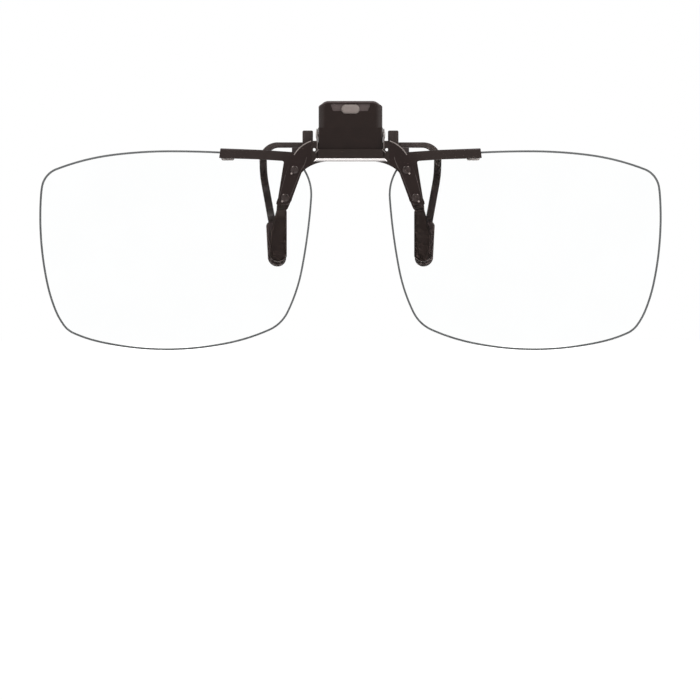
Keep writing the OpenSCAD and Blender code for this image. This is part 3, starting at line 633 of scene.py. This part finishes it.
def tab_outline():
    """The tab seen from above, with points along the soft starts of its corner cuts on both faces."""
    outline = channel(TAB_HALF, TAB_FRONT + TAB_DEPTH, TAB_R)
    knee = [CUT_X + CUT_KNEE * (2 * t - 1) for t in fractions(8)]
    run = [-x for x in knee[::-1]] + knee
    k = next(i for i, p in enumerate(outline) if p[0] > 0)
    outline[k:k] = [(x, TAB_FRONT) for x in run]
    k = next(i for i in range(k + len(run), len(outline)) if outline[i][0] < 0)
    outline[k:k] = [(x, TAB_FRONT + WALL) for x in run[::-1]]
    return outline


def tab_reach(x, y):
    """How far out the outer face of the tab is, beside a point of its wall."""
    cx, cy = abs(x) - (TAB_HALF - TAB_R), y - (TAB_FRONT + TAB_R)
    if cx <= 0:
        return abs(x)
    return TAB_HALF - TAB_R + TAB_R * (cx / math.hypot(cx, cy) if cy < 0 else 1.0)


def front_housing():
    rim = 0.42
    # The tab's top rim is coloured lighter, a painted highlight along its top edge.
    tab = plate_data([tab_outline()], TAB_STEP, TAB_TOP, 0.0, 2, TOP, mids=[TAB_TOP - rim], far_bevel=0.26,
                     edge_mat=lambda loop, i, k: 2 if k > 2 else 0)
    tab = drop_corners(tab, CUT_ABOVE, CUT_X, CUT_SLOPE, CUT_KNEE, tab_reach)
    obj = make("front_housing_shell", tab, [TAB, HOUSING, TAB_RIM, RECESS], weighted=False)
    # The lower part's upper edge is soft at its two sides only, because the tab goes on across the front
    loop = ccw(clean(channel(HOUSING_HALF, HOUSING_BACK, HOUSING_R)))
    shares = [0.0 if abs(a[0] - b[0]) > HOUSING_HALF else 1.0 for a, b in pairs(loop)]
    lower = plate_data([loop], HOUSING_LOW, TAB_STEP, 0.09, 3, TOP, shares=shares)
    lower = make("lower", recolour(lower, 1), [TAB, HOUSING], weighted=False)
    # The recess is pressed into the tab's front
    loop = rounded(RECESS_LOOP, [0.25, 0.25, 0.3, 0.3])
    cut = plate_data([loop], TAB_FRONT - 1, TAB_FRONT + RECESS_DEPTH, 0.02, 2, far_bevel=0.12)
    carve(obj, make("recess_cutter", cut, [RECESS], weighted=False))
    absorb(obj, lower)
    settle(obj, "clip_base", "bronze_black", "front_housing")


def grip_bump():
    """Raised bump in the recess: a flattened dome on the outline of a rounded bar."""
    z, half, r, rise, foot, flat = 28.175, 0.975, 0.975, 0.42, 0.24, 0.62
    rows = [(r, TAB_FRONT + 0.3)]
    for t in fractions(12)[:-1]:
        a = math.pi / 2 * t
        rows.append((r * math.cos(a) ** flat, TAB_FRONT + foot - (rise + foot) * math.sin(a) ** flat))
    rings = [[(x, y, up) for x, up in arc(half, z, q, -90, 90, 14) + arc(-half, z, q, 90, 270, 14)]
             for q, y in rows]
    piece("grip_bump", skin(rings), [BUMP], "clip_base", "bronze_black", sharp=60)


# Bridge and lip

BAND_TOP, NECK_TOP, NECK_IN = 19.75, 21.5, 7.0
EAR_IN, EAR_OUT, EAR_R = 6.85, 7.15, 1.25
WINDOW = (7.62, 19.64, 0.32)


def arch_z(x):
    return ARCH[1] + math.sqrt(ARCH[2] ** 2 - max(0.0, x - ARCH[0]) ** 2)


def lies_at(a, b, axis, value):
    """Whether the edge from a to b lies at a value of x (axis 0) or z (axis 1), on either side."""
    return all(abs(abs(p[axis]) - value) < 1e-4 for p in (a, b))


def band_share(a, b):
    """An edge's share of the bevel: none at a seam, and little where the band lies on the housing."""
    if lies_at(a, b, 0, SEAM):
        return 0.0
    return 0.12 if lies_at(a, b, 1, BAND_TOP) else 1.0


def flip_bridge():
    arch = [ARCH[0] + (SEAM - ARCH[0]) * t for t in fractions(10)]
    right = [(x, arch_z(x)) for x in arch] + [(SEAM, NECK_TOP), (NECK_IN, NECK_TOP), (NECK_IN, BAND_TOP)]
    loop = right + mirrored(right)
    window = circle(*WINDOW, 36)
    sheet = plate_data([loop, window, mirrored(window)], SHEET_FRONT, SHEET_BACK, 0.07,
                       shares=[band_share(a, b) for a, b in pairs(loop)])
    # The ear, with a painted highlight around its top
    ear = [(SHEET_FRONT, 18.15), (-3.5, 18.15), (-1.85, 22.3)] + arc(*FLIP, EAR_R, -20, 150, 18)
    ear = ccw(clean(ear + [(SHEET_FRONT, 21.75)]))
    ears = plate_data([ear, circle(*FLIP, 0.57, 24)], EAR_IN, EAR_OUT, 0.06, 2, SIDE,
                      edge_mat=lambda loop, i, k: 1 if loop == 0 and ear[i][1] > 21.6 else 0)
    # Painted highlight lines along the ear's front edge and along the crease where the ear is folded back
    y = SHEET_FRONT + 0.02
    edge = tube([(NECK_IN, y, 19.8 + 1.95 * t) for t in fractions(8)], 0.12)
    crease = tube([(6.68 + 0.67 * t, y, 19.68 - 0.75 * t ** 1.2) for t in fractions(8)], 0.12)
    highlight_lines = recolour(join(edge, crease), 1)
    data = join(sheet, ears, flip_x(ears), highlight_lines, flip_x(highlight_lines))
    piece("flip_bridge_sheet", data, [BAND, HIGHLIGHT], "flip_frame", "bronze_black", "flip_bridge")


def bridge_lip():
    """A polished bar with slanted ends. Its lower edge is a little rougher and painted darker as shade."""
    low, top, low_half, top_half = 17.13, 17.85, 7.88, 7.2
    loop = rounded([(-low_half, low), (low_half, low), (top_half, top), (-top_half, top)],
                   [0.1, 0.1, 0.12, 0.12], 3)
    loop = ccw(clean(loop))
    data = plate_data([loop], SHEET_FRONT - 0.22, SHEET_FRONT + 0.3, 0.2, 6, far_bevel=0.05,
                      edge_mat=lambda _, i, k: 1 if loop[i][1] < low + 0.07 and k < 5 else 0)
    piece("bridge_lip_bar", data, [LIP, LIP_LOW], "flip_frame", "bright_steel", "bridge_lip")


# Lens brackets

SHOULDER = (6.3, 15.4, 6.45)     # circle of the shoulder's edge
SHOULDER_RUN = (34.0, 72.87)     # its first and last angle
LEG_SIDE = [(15.32, 8.0), (15.6, 8.25), (15.48, 8.85), (15.22, 9.45), (13.97, 17.25)]
LEG_SIDE_R = [0.1, 0.2, 0.15, 0.3, 0.35]
BAR = [(19.1, 17.6), (27.58, 17.86), (27.3, 19.93), (18.6, 19.6), (12.4, 19.17)]
BAR_R = [60, 0.2, 0.18, 60, 0.4]
STRAP = [(9.25, 17.75), (9.8, 16.35), (10.6, 14.75), (12.8, 9.35), (13.45, 8.6), (14.75, 8.7), (15.02, 9.5),
         (13.67, 14.4), (12.6, 17.2), (11.3, 18.1)]
STRAP_R = [0.3, 0.6, 0.6, 0.4, 0.5, 0.4, 0.3, 1.0, 0.8, 0.6]
# Outline of the painted highlight along the bar's upper edge
BAR_HIGHLIGHT = [(20.0, 19.52), (27.08, 19.62), (27.1, 19.86), (20.0, 19.6)]


def lens_y(x, z, back=False):
    """Depth of the lens's front or back face."""
    r = LENS_R - (LENS_T if back else 0)
    return LENS_FRONT + LENS_R - math.sqrt(r * r - (x - APEX[0]) ** 2 - (z - APEX[1]) ** 2)


# Front face of the hook that holds the lens from behind
HOOK_Y = LENS_BACK + lens_y(27.25, 19.4) - LENS_FRONT + 0.2


def bracket_loop():
    """Outline of the leg plate, the bar and the shoulder."""
    low = [(x, arch_z(x)) for x in (SEAM + 1.55 * t for t in fractions(8))]
    foot = arc(13.58, 9.5, 1.33, 186, 262, 8)
    shoulder = arc(*SHOULDER, *SHOULDER_RUN, 24)
    points = low + [(10.27, 14.75)] + foot + LEG_SIDE + BAR + shoulder
    radii = [0] * len(low) + [0.8] + [0] * len(foot) + LEG_SIDE_R + BAR_R + [0] * len(shoulder)
    return ccw(rounded(points, radii, 5))


def bracket_hook():
    """The bar's fold over the lens's top edge, seen from the side."""
    inner, top, roof, low, thick = SHEET_BACK - 0.3, 19.8, 19.3, 17.62, 0.5
    fold = [(inner, top), (inner, roof), (HOOK_Y, roof), (HOOK_Y, low), (HOOK_Y + thick, low),
            (HOOK_Y + thick, top)]
    return plate_data([rounded(fold, [0.05, 0.05, 0.15, 0.12, 0.12, 0.45], 5)], 24.5, 27.1, 0.1, 3, SIDE)


def bracket_strap():
    """A strap on the leg plate, a hair proud of it, that runs down into the sheet towards its top."""
    loop = ccw(rounded(STRAP, STRAP_R, 5))

    # Some of the strap's edges are coloured lighter, as painted highlights along them.
    def highlighted_side(_, i, k):
        x, z = loop[i]
        if x > 16.4 - 0.29 * z:
            return 2 if k < 2 and 9.3 < z < 14.0 else 0
        return 1 if k < 2 and 14.0 < z < 17.2 else 0

    verts, faces, mats = plate_data([loop], SHEET_FRONT - 0.1, SHEET_FRONT + 0.1, 0.08, 2, far_bevel=0.01,
                                    edge_mat=highlighted_side)
    return [(x, y + max(0.0, z - 15.2) * 0.07, z) for x, y, z in verts], faces, mats


def lens_bracket(side):
    loop = bracket_loop()
    sheet = plate_data([loop], SHEET_FRONT, SHEET_BACK, 0.09,
                       shares=[0.0 if lies_at(a, b, 0, SEAM) else 1.0 for a, b in pairs(loop)])
    # A faint crease inside the shoulder, coloured as a painted highlight line
    y = SHEET_FRONT + 0.02
    crease = tube([(9.2 + 0.8 * t ** 1.3, y, 18.1 - 2.35 * t) for t in fractions(8)], 0.07)
    # A painted highlight along the bar's upper edge towards its outer end
    pale = plate_data([BAR_HIGHLIGHT], SHEET_FRONT - 0.015, SHEET_FRONT + 0.1, 0.01, 2)
    data = join(sheet, bracket_hook(), bracket_strap(), recolour(crease, 1), recolour(pale, 2))
    sided(side, "lens_bracket_sheet", data, [BRACKET, FAINT, BAR_TOP], "flip_frame", "bronze_black",
          "lens_bracket")
    # Rounded rim of the shoulder, coloured as a painted highlight
    cx, cz, r = SHOULDER
    start, end = SHOULDER_RUN
    rim = arc(cx, cz, r - 0.11, start - 4.5, end - 1, 40)
    data = tube([(x, SHEET_FRONT - 0.01, z) for x, z in rim], 0.11, 10)
    sided(side, "shoulder_rim", data, [EDGE], "flip_frame", "bronze_black", sharp=60)


# Lenses

# Middle of the visible edge line, as arcs that follow each other clockwise from the top of the temple
# side. Each is its radius and the degrees that it turns.
LENS_START = (37.92, 19.35)
LENS_ARCS = ((97.9, 7), (51.0, 14), (4.8, 59), (16.7, 6), (67.2, 16), (33.7, 10), (14.6, 14), (5.3, 30),
             (28.6, 11), (64.0, 25), (41.7, 12), (7.8, 40), (35.9, 15), (124.6, 7), (9.9, 48), (2.3, 39),
             (209.5, 7))
EDGE_W = 0.4                 # width of the edge line, and of the ground bevels
LENS_MIDDLE = (37.0, -2.0)


def lens_outline():
    """The lens's outer edge, half a line's width outside the middle of the line."""
    x, z = LENS_START
    bearing = 90.0
    out = []
    for r, turned in LENS_ARCS:
        across, up = math.cos(math.radians(bearing)), math.sin(math.radians(bearing))
        steps = math.ceil(max(r * math.radians(turned) / 0.9, turned / 3.5))
        points = arc(x - r * across, z - r * up, r, bearing, bearing - turned, steps)
        out += points[:-1]
        x, z = points[-1]
        bearing -= turned
    # The last arc ends a hair beside the start, and that is shared out along the outline
    n = len(out)
    gap_x, gap_z = LENS_START[0] - x, LENS_START[1] - z
    out = [(px + gap_x * i / n, pz + gap_z * i / n) for i, (px, pz) in enumerate(out)]
    out = ccw(clean(out))
    return inset(out, [-EDGE_W / 2] * len(out))


def lens(side):
    """A bowed lens whose faces are built from rings, with a ground edge between two rounded bevels."""
    outline = lens_outline()
    n = len(outline)
    verts, faces, mats = [], [], []

    def ring(points, back, deeper=0.0):
        """Add a ring of points on the front or back face, and give the number of its first point."""
        verts.extend((x, lens_y(x, z, back) + deeper, z) for x, z in points)
        return len(verts) - n

    def wall(rows, mat):
        for a, b in zip(rows, rows[1:]):
            for i in range(n):
                i1 = (i + 1) % n
                faces.append((a + i, b + i, b + i1, a + i1))
                mats.append(mat)

    face_edge = inset(outline, [EDGE_W] * n)
    cx, cz = LENS_MIDDLE
    outer_rings = []
    for back in (False, True):
        middle = len(verts)
        verts.append((cx, lens_y(cx, cz, back), cz))
        rows = []
        for t in fractions(16)[1:]:
            s = t ** 0.9
            rows.append(ring([(cx + (x - cx) * s, cz + (z - cz) * s) for x, z in face_edge], back))
        faces += [(middle, rows[0] + i, rows[0] + (i + 1) % n) for i in range(n)]
        mats += [0] * n
        wall(rows, 0)
        outer_rings.append(rows[-1])
    # Each bevel turns from the face to the flat edge
    bevels = [[], []]
    for back, rows in enumerate(bevels):
        for t in fractions(4)[1:]:
            a = math.pi / 2 * t
            points = inset(outline, [EDGE_W * (1 - math.sin(a))] * n) if t < 1 else outline
            rows.append(ring(points, back, (-1 if back else 1) * EDGE_W * 0.8 * (1 - math.cos(a))))
    wall([outer_rings[0]] + bevels[0] + bevels[1][::-1] + [outer_rings[1]], 1)
    obj = sided(side, "lens_clear", (verts, faces, mats), [GLASS, LENS_EDGE], "flip_frame", "lens", "lens",
                sharp=50, weighted=False)
    split_materials(obj.data)


# Legs and arms

LEG = [(7.88, 23.75), (7.88, 18.4), (10.9, 14.4), (12.5, 8.9), (13.15, 7.4), (13.5, 6.95), (14.2, 4.5),
       (14.2, -2.5), (16.2, -2.5), (16.2, 4.5), (15.6, 6.0), (15.5, 8.0), (13.1, 15.2), (10.1, 19.4),
       (10.1, 23.75)]
LEG_R = [0.3, 1.2, 3, 2, 1, 0.5, 1.5, 0.9, 0.9, 1.5, 2, 2, 3, 1.2, 0.3]
LEG_FRONT, LEG_BACK = -1.25, -0.55

ARM_START, ARM_END = 2.6, -2.8   # x of the arm's inner end, and z of its lower end
ARM_BEND = (15.2, 17.56, 3.2)    # circle of the bend: x, z and radius
ARM_SIDE, ARM_SLANT = 1.0, 10.6  # degrees inward just under the bend and along the rest
ARM_KNEE = (16.4, 22.0)          # height and radius of the gentle bend between the two
ARM_TOP_W, ARM_W, ARM_T = 1.17, 1.57, 0.7
ARM_SPAN = (19.975, 4.8)         # heights between which the arm bows back
ARM_DEPTHS, ARM_BOW = (2.75, 1.2), 4.4


def front_leg(side):
    data = plate_data([rounded(LEG, LEG_R)], LEG_FRONT, LEG_BACK, 0.12)
    sided(side, "front_leg_strip", data, [STRIP], "clip_base", "dark_strip", "front_leg")


def arm_depth(z):
    top, low = ARM_SPAN
    s = min(1.0, max(0.0, (top - z) / (top - low)))
    ease = s * s * (3 - 2 * s)
    return ARM_DEPTHS[0] + (ARM_DEPTHS[1] - ARM_DEPTHS[0]) * ease + ARM_BOW * math.sin(math.pi * s) ** 2


def arm_route():
    """Points (x, z, width) of the arm as seen from the front."""
    cx, cz, r = ARM_BEND
    out = [(ARM_START + (cx - ARM_START) * t, cz + r, ARM_TOP_W) for t in fractions(12)[:-1]]
    for i, (x, z) in enumerate(arc(cx, cz, r, 90, -ARM_SIDE, 26)):
        out.append((x, z, ARM_TOP_W + (ARM_W - ARM_TOP_W) * min(1, i / 20)))
    x, z, _ = out[-1]
    step = 0.4
    while z > ARM_END:
        past = max(0.0, (ARM_KNEE[0] - z) / ARM_KNEE[1])
        x -= step * math.tan(min(math.radians(ARM_SLANT), math.radians(ARM_SIDE) + past))
        z -= step
        out.append((x, z, ARM_W))
    return out


def rear_arm(side):
    route = arm_route()
    path = [Vector((x, arm_depth(z), z)) for x, z, _ in route]
    half, thick = 0.5, ARM_T / 2
    corner = rounded([(-half, -thick), (half, -thick), (half, thick), (-half, thick)], [0.22] * 4, 5)
    sections = [[(u + math.copysign(width / 2 - half, u), v) for u, v in corner] for _, _, width in route]
    frames = []
    for before, after in zip(path[:1] + path, path[1:] + path[-1:]):
        along = (after - before).normalized()
        across = Vector((along.z, 0, -along.x)).normalized()
        frames.append((across, along.cross(across).normalized()))
    sided(side, "rear_arm_strip", sweep(path, frames, sections), [ARM], "rear_clamp", "dark_strip",
          "rear_arm", sharp=50)


def pad_loop(x, w, taper_w, taper_h, top, low, r, lean=0.0):
    """Outline of a pad; lean is how far its lower end stands inward of its top."""
    half = w / 2
    turn = math.degrees(math.atan2(math.sqrt(r * r - half * half), half))
    lower = arc(x, r - low, r, 180 + turn, 360 - turn, 20)
    points = lower + [(x + half, top - taper_h), (x + half - taper_w, top), (x - half, top)]
    radii = [0.5] + [0] * (len(lower) - 2) + [0.5, 1.2, 0.35, 0.5]
    points = [(px - lean * (top - pz) / (top + low), pz) for px, pz in points]
    return ccw(rounded(points, radii))


def pads(side):
    front, rear, bevel = (-1.8, 0.0), (0.3, 2.1), 0.42
    loop = pad_loop(15.17, 3.55, 1.42, 5.0, 7.1, 4.0, 1.85)
    data = plate_data([loop], *front, bevel, 6)
    sided(side, "front_pad_sleeve", data, [PAD], "clip_base", "pad_rubber", "front_pad", sharp=60)
    # The rear pad's lower end, below the front pad, is painted lighter against the shade there
    loop = pad_loop(15.87, 3.85, 0.6, 0.6, 4.6, 4.85, 1.95, lean=0.5)
    low_end = -3.4
    data = plate_data([loop], *rear, bevel, 6,
                      edge_mat=lambda _, i, k: 1 if loop[i][1] < low_end and k < 8 else 0)
    sided(side, "rear_pad_sleeve", data, [PAD_REAR, PAD_LIT_END], "rear_clamp", "pad_rubber", "rear_pad",
          sharp=60)
    # A moulded rim along the front pad's lower end, coloured lighter as a painted highlight
    data = tube([(x, -1.68, z) for x, z in arc(15.22, -2.2, 1.66, 200, 330, 30)], 0.09)
    sided(side, "pad_rim", data, [PAD_RIM], "clip_base", "pad_rubber", sharp=60)


# Clamp plate, base plate and spring

PLATE_FRONT, PLATE_BACK = 1.7, 2.4
PLATE_LOW, PLATE_KNEE, PLATE_TOP = 17.8, 24.3, 29.4
PLATE_LEAN = math.tan(math.radians(14))
HINGE_R = 0.95
BASE_FRONT, BASE_BACK = -1.95, -1.25
# Right half of the base plate, from the wing's lower corner round to the middle, and its corner radii
BASE = [(12.32, 17.3), (12.32, 20.2), (8.18, 20.2), (8.18, 19.07), (7.3, 19.07), (7.3, 20.2), (6.8, 20.2),
        (6.8, 20.73), (6.2, 20.73), (6.2, 21.77), (6.8, 21.77), (6.8, 24.3), (2.8, 24.3), (2.8, 21.855)]
BASE_R = [0.2, 0.25, 0.1, 0.15, 0.15, 0.08, 0.05, 0.03, 0.03, 0.03, 0.03, 0.2, 0.2, 0.2]
WIRE_R = 0.35 / 2


def clamp_plate():
    back = (PLATE_TOP - PLATE_KNEE) * PLATE_LEAN
    loop = [(PLATE_FRONT, PLATE_LOW), (PLATE_BACK, PLATE_LOW), (PLATE_BACK, PLATE_KNEE),
            (PLATE_BACK + back, PLATE_TOP), (PLATE_FRONT + back, PLATE_TOP), (PLATE_FRONT, PLATE_KNEE)]
    loop = rounded(loop, [0.06, 0.06, 2.2, 0.06, 0.06, 2.2], 8)
    body = plate_data([loop], -6.5, 6.5, 0.14, 3, SIDE, mids=(-5.9, -5.4, -4.9, 4.9, 5.4, 5.9))
    body = drop_corners(body, CUT_ABOVE, 4.9, 1.0)
    ear = [(2.0, 20.55), (2.0, 22.45)] + arc(*CLAMP, HINGE_R, 90, 270, 20)
    ears = plate_data([ear, circle(*CLAMP, 0.55, 24)], 5.85, 6.25, 0.06, 2, SIDE)
    # Grip ribs on the rear thumb tab
    ribs = []
    for i in range(5):
        z = 25.5 + 0.75 * i
        y = PLATE_BACK + (z - PLATE_KNEE) * PLATE_LEAN - 0.04
        half = 4.6 - 0.12 * i
        ribs.append(tube([(-half + 2 * half * t, y, z) for t in fractions(20)], 0.17, 10))
    data = join(body, ears, flip_x(ears), *ribs)
    piece("clamp_plate_sheet", data, [BRONZE], "rear_clamp", "bronze_black", "clamp_plate")


def base_plate():
    loop = rounded(BASE + mirrored(BASE), BASE_R + BASE_R[::-1], 4)
    sheet = plate_data([loop], BASE_FRONT, BASE_BACK, 0.06, 2)
    ear = [(-1.35, 20.55)] + arc(*CLAMP, HINGE_R, -90, 90, 20) + [(-1.35, 22.45)]
    ears = plate_data([ear, circle(*CLAMP, 0.52, 24)], 5.3, 5.7, 0.06, 2, SIDE)
    data = join(sheet, ears, flip_x(ears))
    piece("base_plate_sheet", data, [WING], "clip_base", "bronze_black", "base_plate")


def torsion_spring():
    """A coil round the clamp's pin, with one leg on the base plate and the other on the clamp plate."""
    coil_r, pitch, curls, per_curl = 0.85, 0.95, 8, 24
    y, z = CLAMP
    start, end = -curls * pitch / 2, (curls + 1) * pitch / 2
    gap = WIRE_R + 0.02
    path = [(start - 0.04, BASE_BACK + gap, 24.0), (start - 0.03, BASE_BACK + 0.1 + gap, 23.2),
            (start - 0.02, y - coil_r - 0.03, 22.2)]
    for i in range(int((curls + 0.5) * per_curl) + 1):
        turns = i / per_curl
        a = 2 * math.pi * turns
        path.append((start + turns * pitch, y - coil_r * math.cos(a), z - coil_r * math.sin(a)))
    path += [(end + 0.02, y + coil_r + 0.03, 22.2), (end + 0.03, PLATE_FRONT - 0.1 - gap, 23.2),
             (end + 0.04, PLATE_FRONT - gap, 24.0)]
    obj = make("torsion_spring_wire", tube(path, WIRE_R, 12), [SPRING], sharp=60, weighted=False)
    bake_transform(obj)
    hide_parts("torsion_spring")


# Screws, pin and liners

def screw(x, z, length):
    """A low head: a rounded rim, a shallow dish inside it, and a slot cut across the dish."""
    profile = [(length, 0.6), (0.0, 0.6), (0.0, 0.88), (-0.2, 0.88), (-0.29, 0.84), (-0.34, 0.76),
               (-0.34, 0.68), (-0.29, 0.6), (-0.25, 0.5), (-0.25, 0.3), (-0.25, 0.02)]
    verts, faces, mats = lathe(profile, 48, (x, SHEET_FRONT, z))
    angle = math.radians(35)
    slot_y, slot_half, dish_r = SHEET_FRONT - 0.12, 0.12, 0.65
    cut = []
    for px, py, pz in verts:
        across = abs((px - x) * math.cos(angle) + (pz - z) * math.sin(angle))
        if across < slot_half and math.hypot(px - x, pz - z) < dish_r:
            py = max(py, slot_y)
        cut.append((px, py, pz))
    # A small locating pin at the head's lower outer edge, its end coloured bright as a painted glint
    pin = lathe([(0.3, 0.22), (-0.16, 0.22), (-0.23, 0.17), (-0.25, 0.02)], 20,
                (x + 0.62, SHEET_FRONT - 0.12, z - 0.76))
    parts = [(cut, faces, mats), recolour(pin, 1)]
    # Two painted highlights on the upper rim
    for start, end, mat in ((50, 72, 1), (118, 138, 2)):
        path = [(px, SHEET_FRONT - 0.31, pz) for px, pz in arc(x, z, 0.76, start, end, 10)]
        parts.append(recolour(tube(path, 0.09), mat))
    return join(*parts)


def lens_screws(side):
    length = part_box("lens_screws_" + side)[1][1] / MM - SHEET_FRONT
    data = join(*[screw(x, z, length) for x, z in SCREWS])
    sided(side, "lens_screw_heads", data, [FASTENER, SPARK, HIGHLIGHT], "flip_frame", "dark_fastener",
          "lens_screws")


def flip_pin():
    """A pin through the ears with low polished heads, nearly flush."""
    shaft_r, head_r, rise = 0.55, 0.92, 0.16
    head = [(EAR_OUT + rise * math.cos(math.radians(a)), head_r * math.sin(math.radians(a)))
            for a in range(80, 9, -10)]
    half = [(EAR_OUT, shaft_r), (EAR_OUT, head_r)] + head + [(EAR_OUT + rise, 0.02)]
    data = lathe([(-h, r) for h, r in half[::-1]] + half, 40, (0, *FLIP), "x")
    piece("flip_pin_domed", data, [PIN], "flip_frame", "bright_steel", "flip_pin")


def fold_liner(side):
    """Soft liner between the hook and the lens, with round lower corners."""
    front, back, top, thick = -4.38, HOOK_Y - 0.02, 19.28, 0.16
    low, start, end, r = 17.42, 24.42, 27.14, 0.35
    loop = [(front, top), (front, top - thick), (back - thick, top - thick), (back - thick, low),
            (back, low), (back, top)]
    loop = rounded(loop, [0.04, 0.04, 0.1, 0.07, 0.07, 0.2], 5)
    turn_in = [r * (1 - math.cos(math.radians(a))) for a in (20, 35, 50, 65, 90)]
    verts, faces, mats = plate_data([loop], start, end, 0.04, 2, SIDE,
                                    mids=[start + d for d in turn_in] + [end - d for d in turn_in[::-1]])
    out = []
    for x, y, z in verts:
        past = max(0.0, start + r - x, x - end + r)
        if z < low + r:
            z += r - math.sqrt(max(0.0, r * r - past * past))
        out.append((x, y, z))
    sided(side, "fold_liner_soft", (out, faces, mats), [LINER], "flip_frame", "clear_nylon", "fold_liner")


# CAD nodes that stay, with softened edges and a material

def dress(node, mat, width):
    obj = NODES[node]
    obj.modifiers.new("weld", "WELD").merge_threshold = 1e-7
    flat = obj.modifiers.new("flat", "DECIMATE")
    flat.decimate_type = "DISSOLVE"
    flat.angle_limit = math.radians(1)
    bevel = obj.modifiers.new("bevel", "BEVEL")
    bevel.width = width * MM
    bevel.segments = 3
    bevel.limit_method = "ANGLE"
    bevel.angle_limit = math.radians(40)
    bevel.use_clamp_overlap = True
    obj.data.materials.clear()
    obj.data.materials.append(mat)


DRESSED = (("clamp_pin", STEEL, 0.04), ("flip_cam", FASTENER, 0.05), ("detent_leaf", SPRING, 0.04),
           ("leg_rivets", FASTENER, 0.04), ("arm_rivets", FASTENER, 0.04),
           ("lens_sleeves_left", NYLON, 0.03), ("lens_sleeves_right", NYLON, 0.03),
           ("lens_washers_left", NYLON, 0.03), ("lens_washers_right", NYLON, 0.03),
           ("lens_nuts_left", STEEL, 0.05), ("lens_nuts_right", STEEL, 0.05))


# Floor, light and camera

FLOOR_Z = -22.52
IMAGE_PIXELS, PIXEL = 700, 0.21         # width of the picture in pixels, and of a pixel at the glasses
CAMERA_DISTANCE, SENSOR = 2000.0, 36
CAMERA_AIM, CAMERA_Z = (-0.1, -4.0, -22.41), -19.5


def floor():
    """A white floor that keeps the object's shadow and looks white to the camera, metal and glass."""
    bpy.ops.mesh.primitive_circle_add(vertices=96, radius=4.0, fill_type="NGON",
                                      location=(0, 0, FLOOR_Z * MM))
    obj = bpy.context.object
    obj.name = "floor"
    look = Look("floor_white")
    look.feed("Base Color", look.ramp(look.noise(3, 2, 0.5), [0.79] * 3, [0.81] * 3))
    look.feed("Roughness", 0.9)
    look.feed("Specular IOR Level", 0.0)
    glow = look.add("ShaderNodeEmission", {"Strength": 0.66}).outputs["Emission"]
    both = look.add("ShaderNodeAddShader", {0: look.own, 1: glow}).outputs["Shader"]
    look.surface(look.seen_rays(), look.own, both)
    obj.data.materials.append(look.mat)


def world():
    """Soft light from all round, and white where the camera, metal and glass see it."""
    bpy.context.scene.world = bpy.data.worlds.new("studio")
    tree = Tree(bpy.context.scene.world)
    back = tree.nodes["Background"]
    tree.put(back, "Color", (1, 1, 1, 1))
    tree.put(back, "Strength", tree.span(tree.seen_rays(), 0.45, 1.0, 0.0, 1.0))


def lamp(name, place, aim, size, power):
    data = bpy.data.lights.new(name, "AREA")
    data.energy = power
    data.size = size
    obj = bpy.data.objects.new(name, data)
    obj.location = place
    obj.rotation_mode = "QUATERNION"
    obj.rotation_quaternion = (Vector(aim) - Vector(place)).to_track_quat("-Z", "Y")
    bpy.context.scene.collection.objects.link(obj)


def camera():
    data = bpy.data.cameras.new("camera")
    data.sensor_width = SENSOR
    data.lens = SENSOR * CAMERA_DISTANCE / (IMAGE_PIXELS * PIXEL)
    data.clip_start, data.clip_end = 0.05, 20
    obj = bpy.data.objects.new("camera", data)
    bpy.context.scene.collection.objects.link(obj)
    aim = Vector(CAMERA_AIM) * MM
    obj.location = (aim.x, aim.y - CAMERA_DISTANCE * MM, CAMERA_Z * MM)
    obj.rotation_mode = "QUATERNION"
    obj.rotation_quaternion = (aim - obj.location).to_track_quat("-Z", "Y")
    bpy.context.scene.camera = obj


# The whole scene

front_housing()
grip_bump()
flip_bridge()
bridge_lip()
for side in SIDES:
    lens_bracket(side)
for side in SIDES:
    lens(side)
for side in SIDES:
    front_leg(side)
    rear_arm(side)
    pads(side)
clamp_plate()
base_plate()
torsion_spring()
for side in SIDES:
    lens_screws(side)
flip_pin()
for node, mat, width in DRESSED:
    dress(node, mat, width)
for side in SIDES:
    fold_liner(side)
floor()
world()
lamp("key", (-0.35, -0.65, 0.75), (0, 0, 0.01), 0.5, 6.4)
lamp("fill", (0.6, -0.55, 0.35), (0, 0, 0.0), 0.5, 3.4)
lamp("back", (0.1, 0.6, 0.7), (0, 0, 0.01), 0.6, 4.0)
camera()
bpy.context.scene.view_settings.view_transform = "Standard"

bpy.context.view_layer.update()
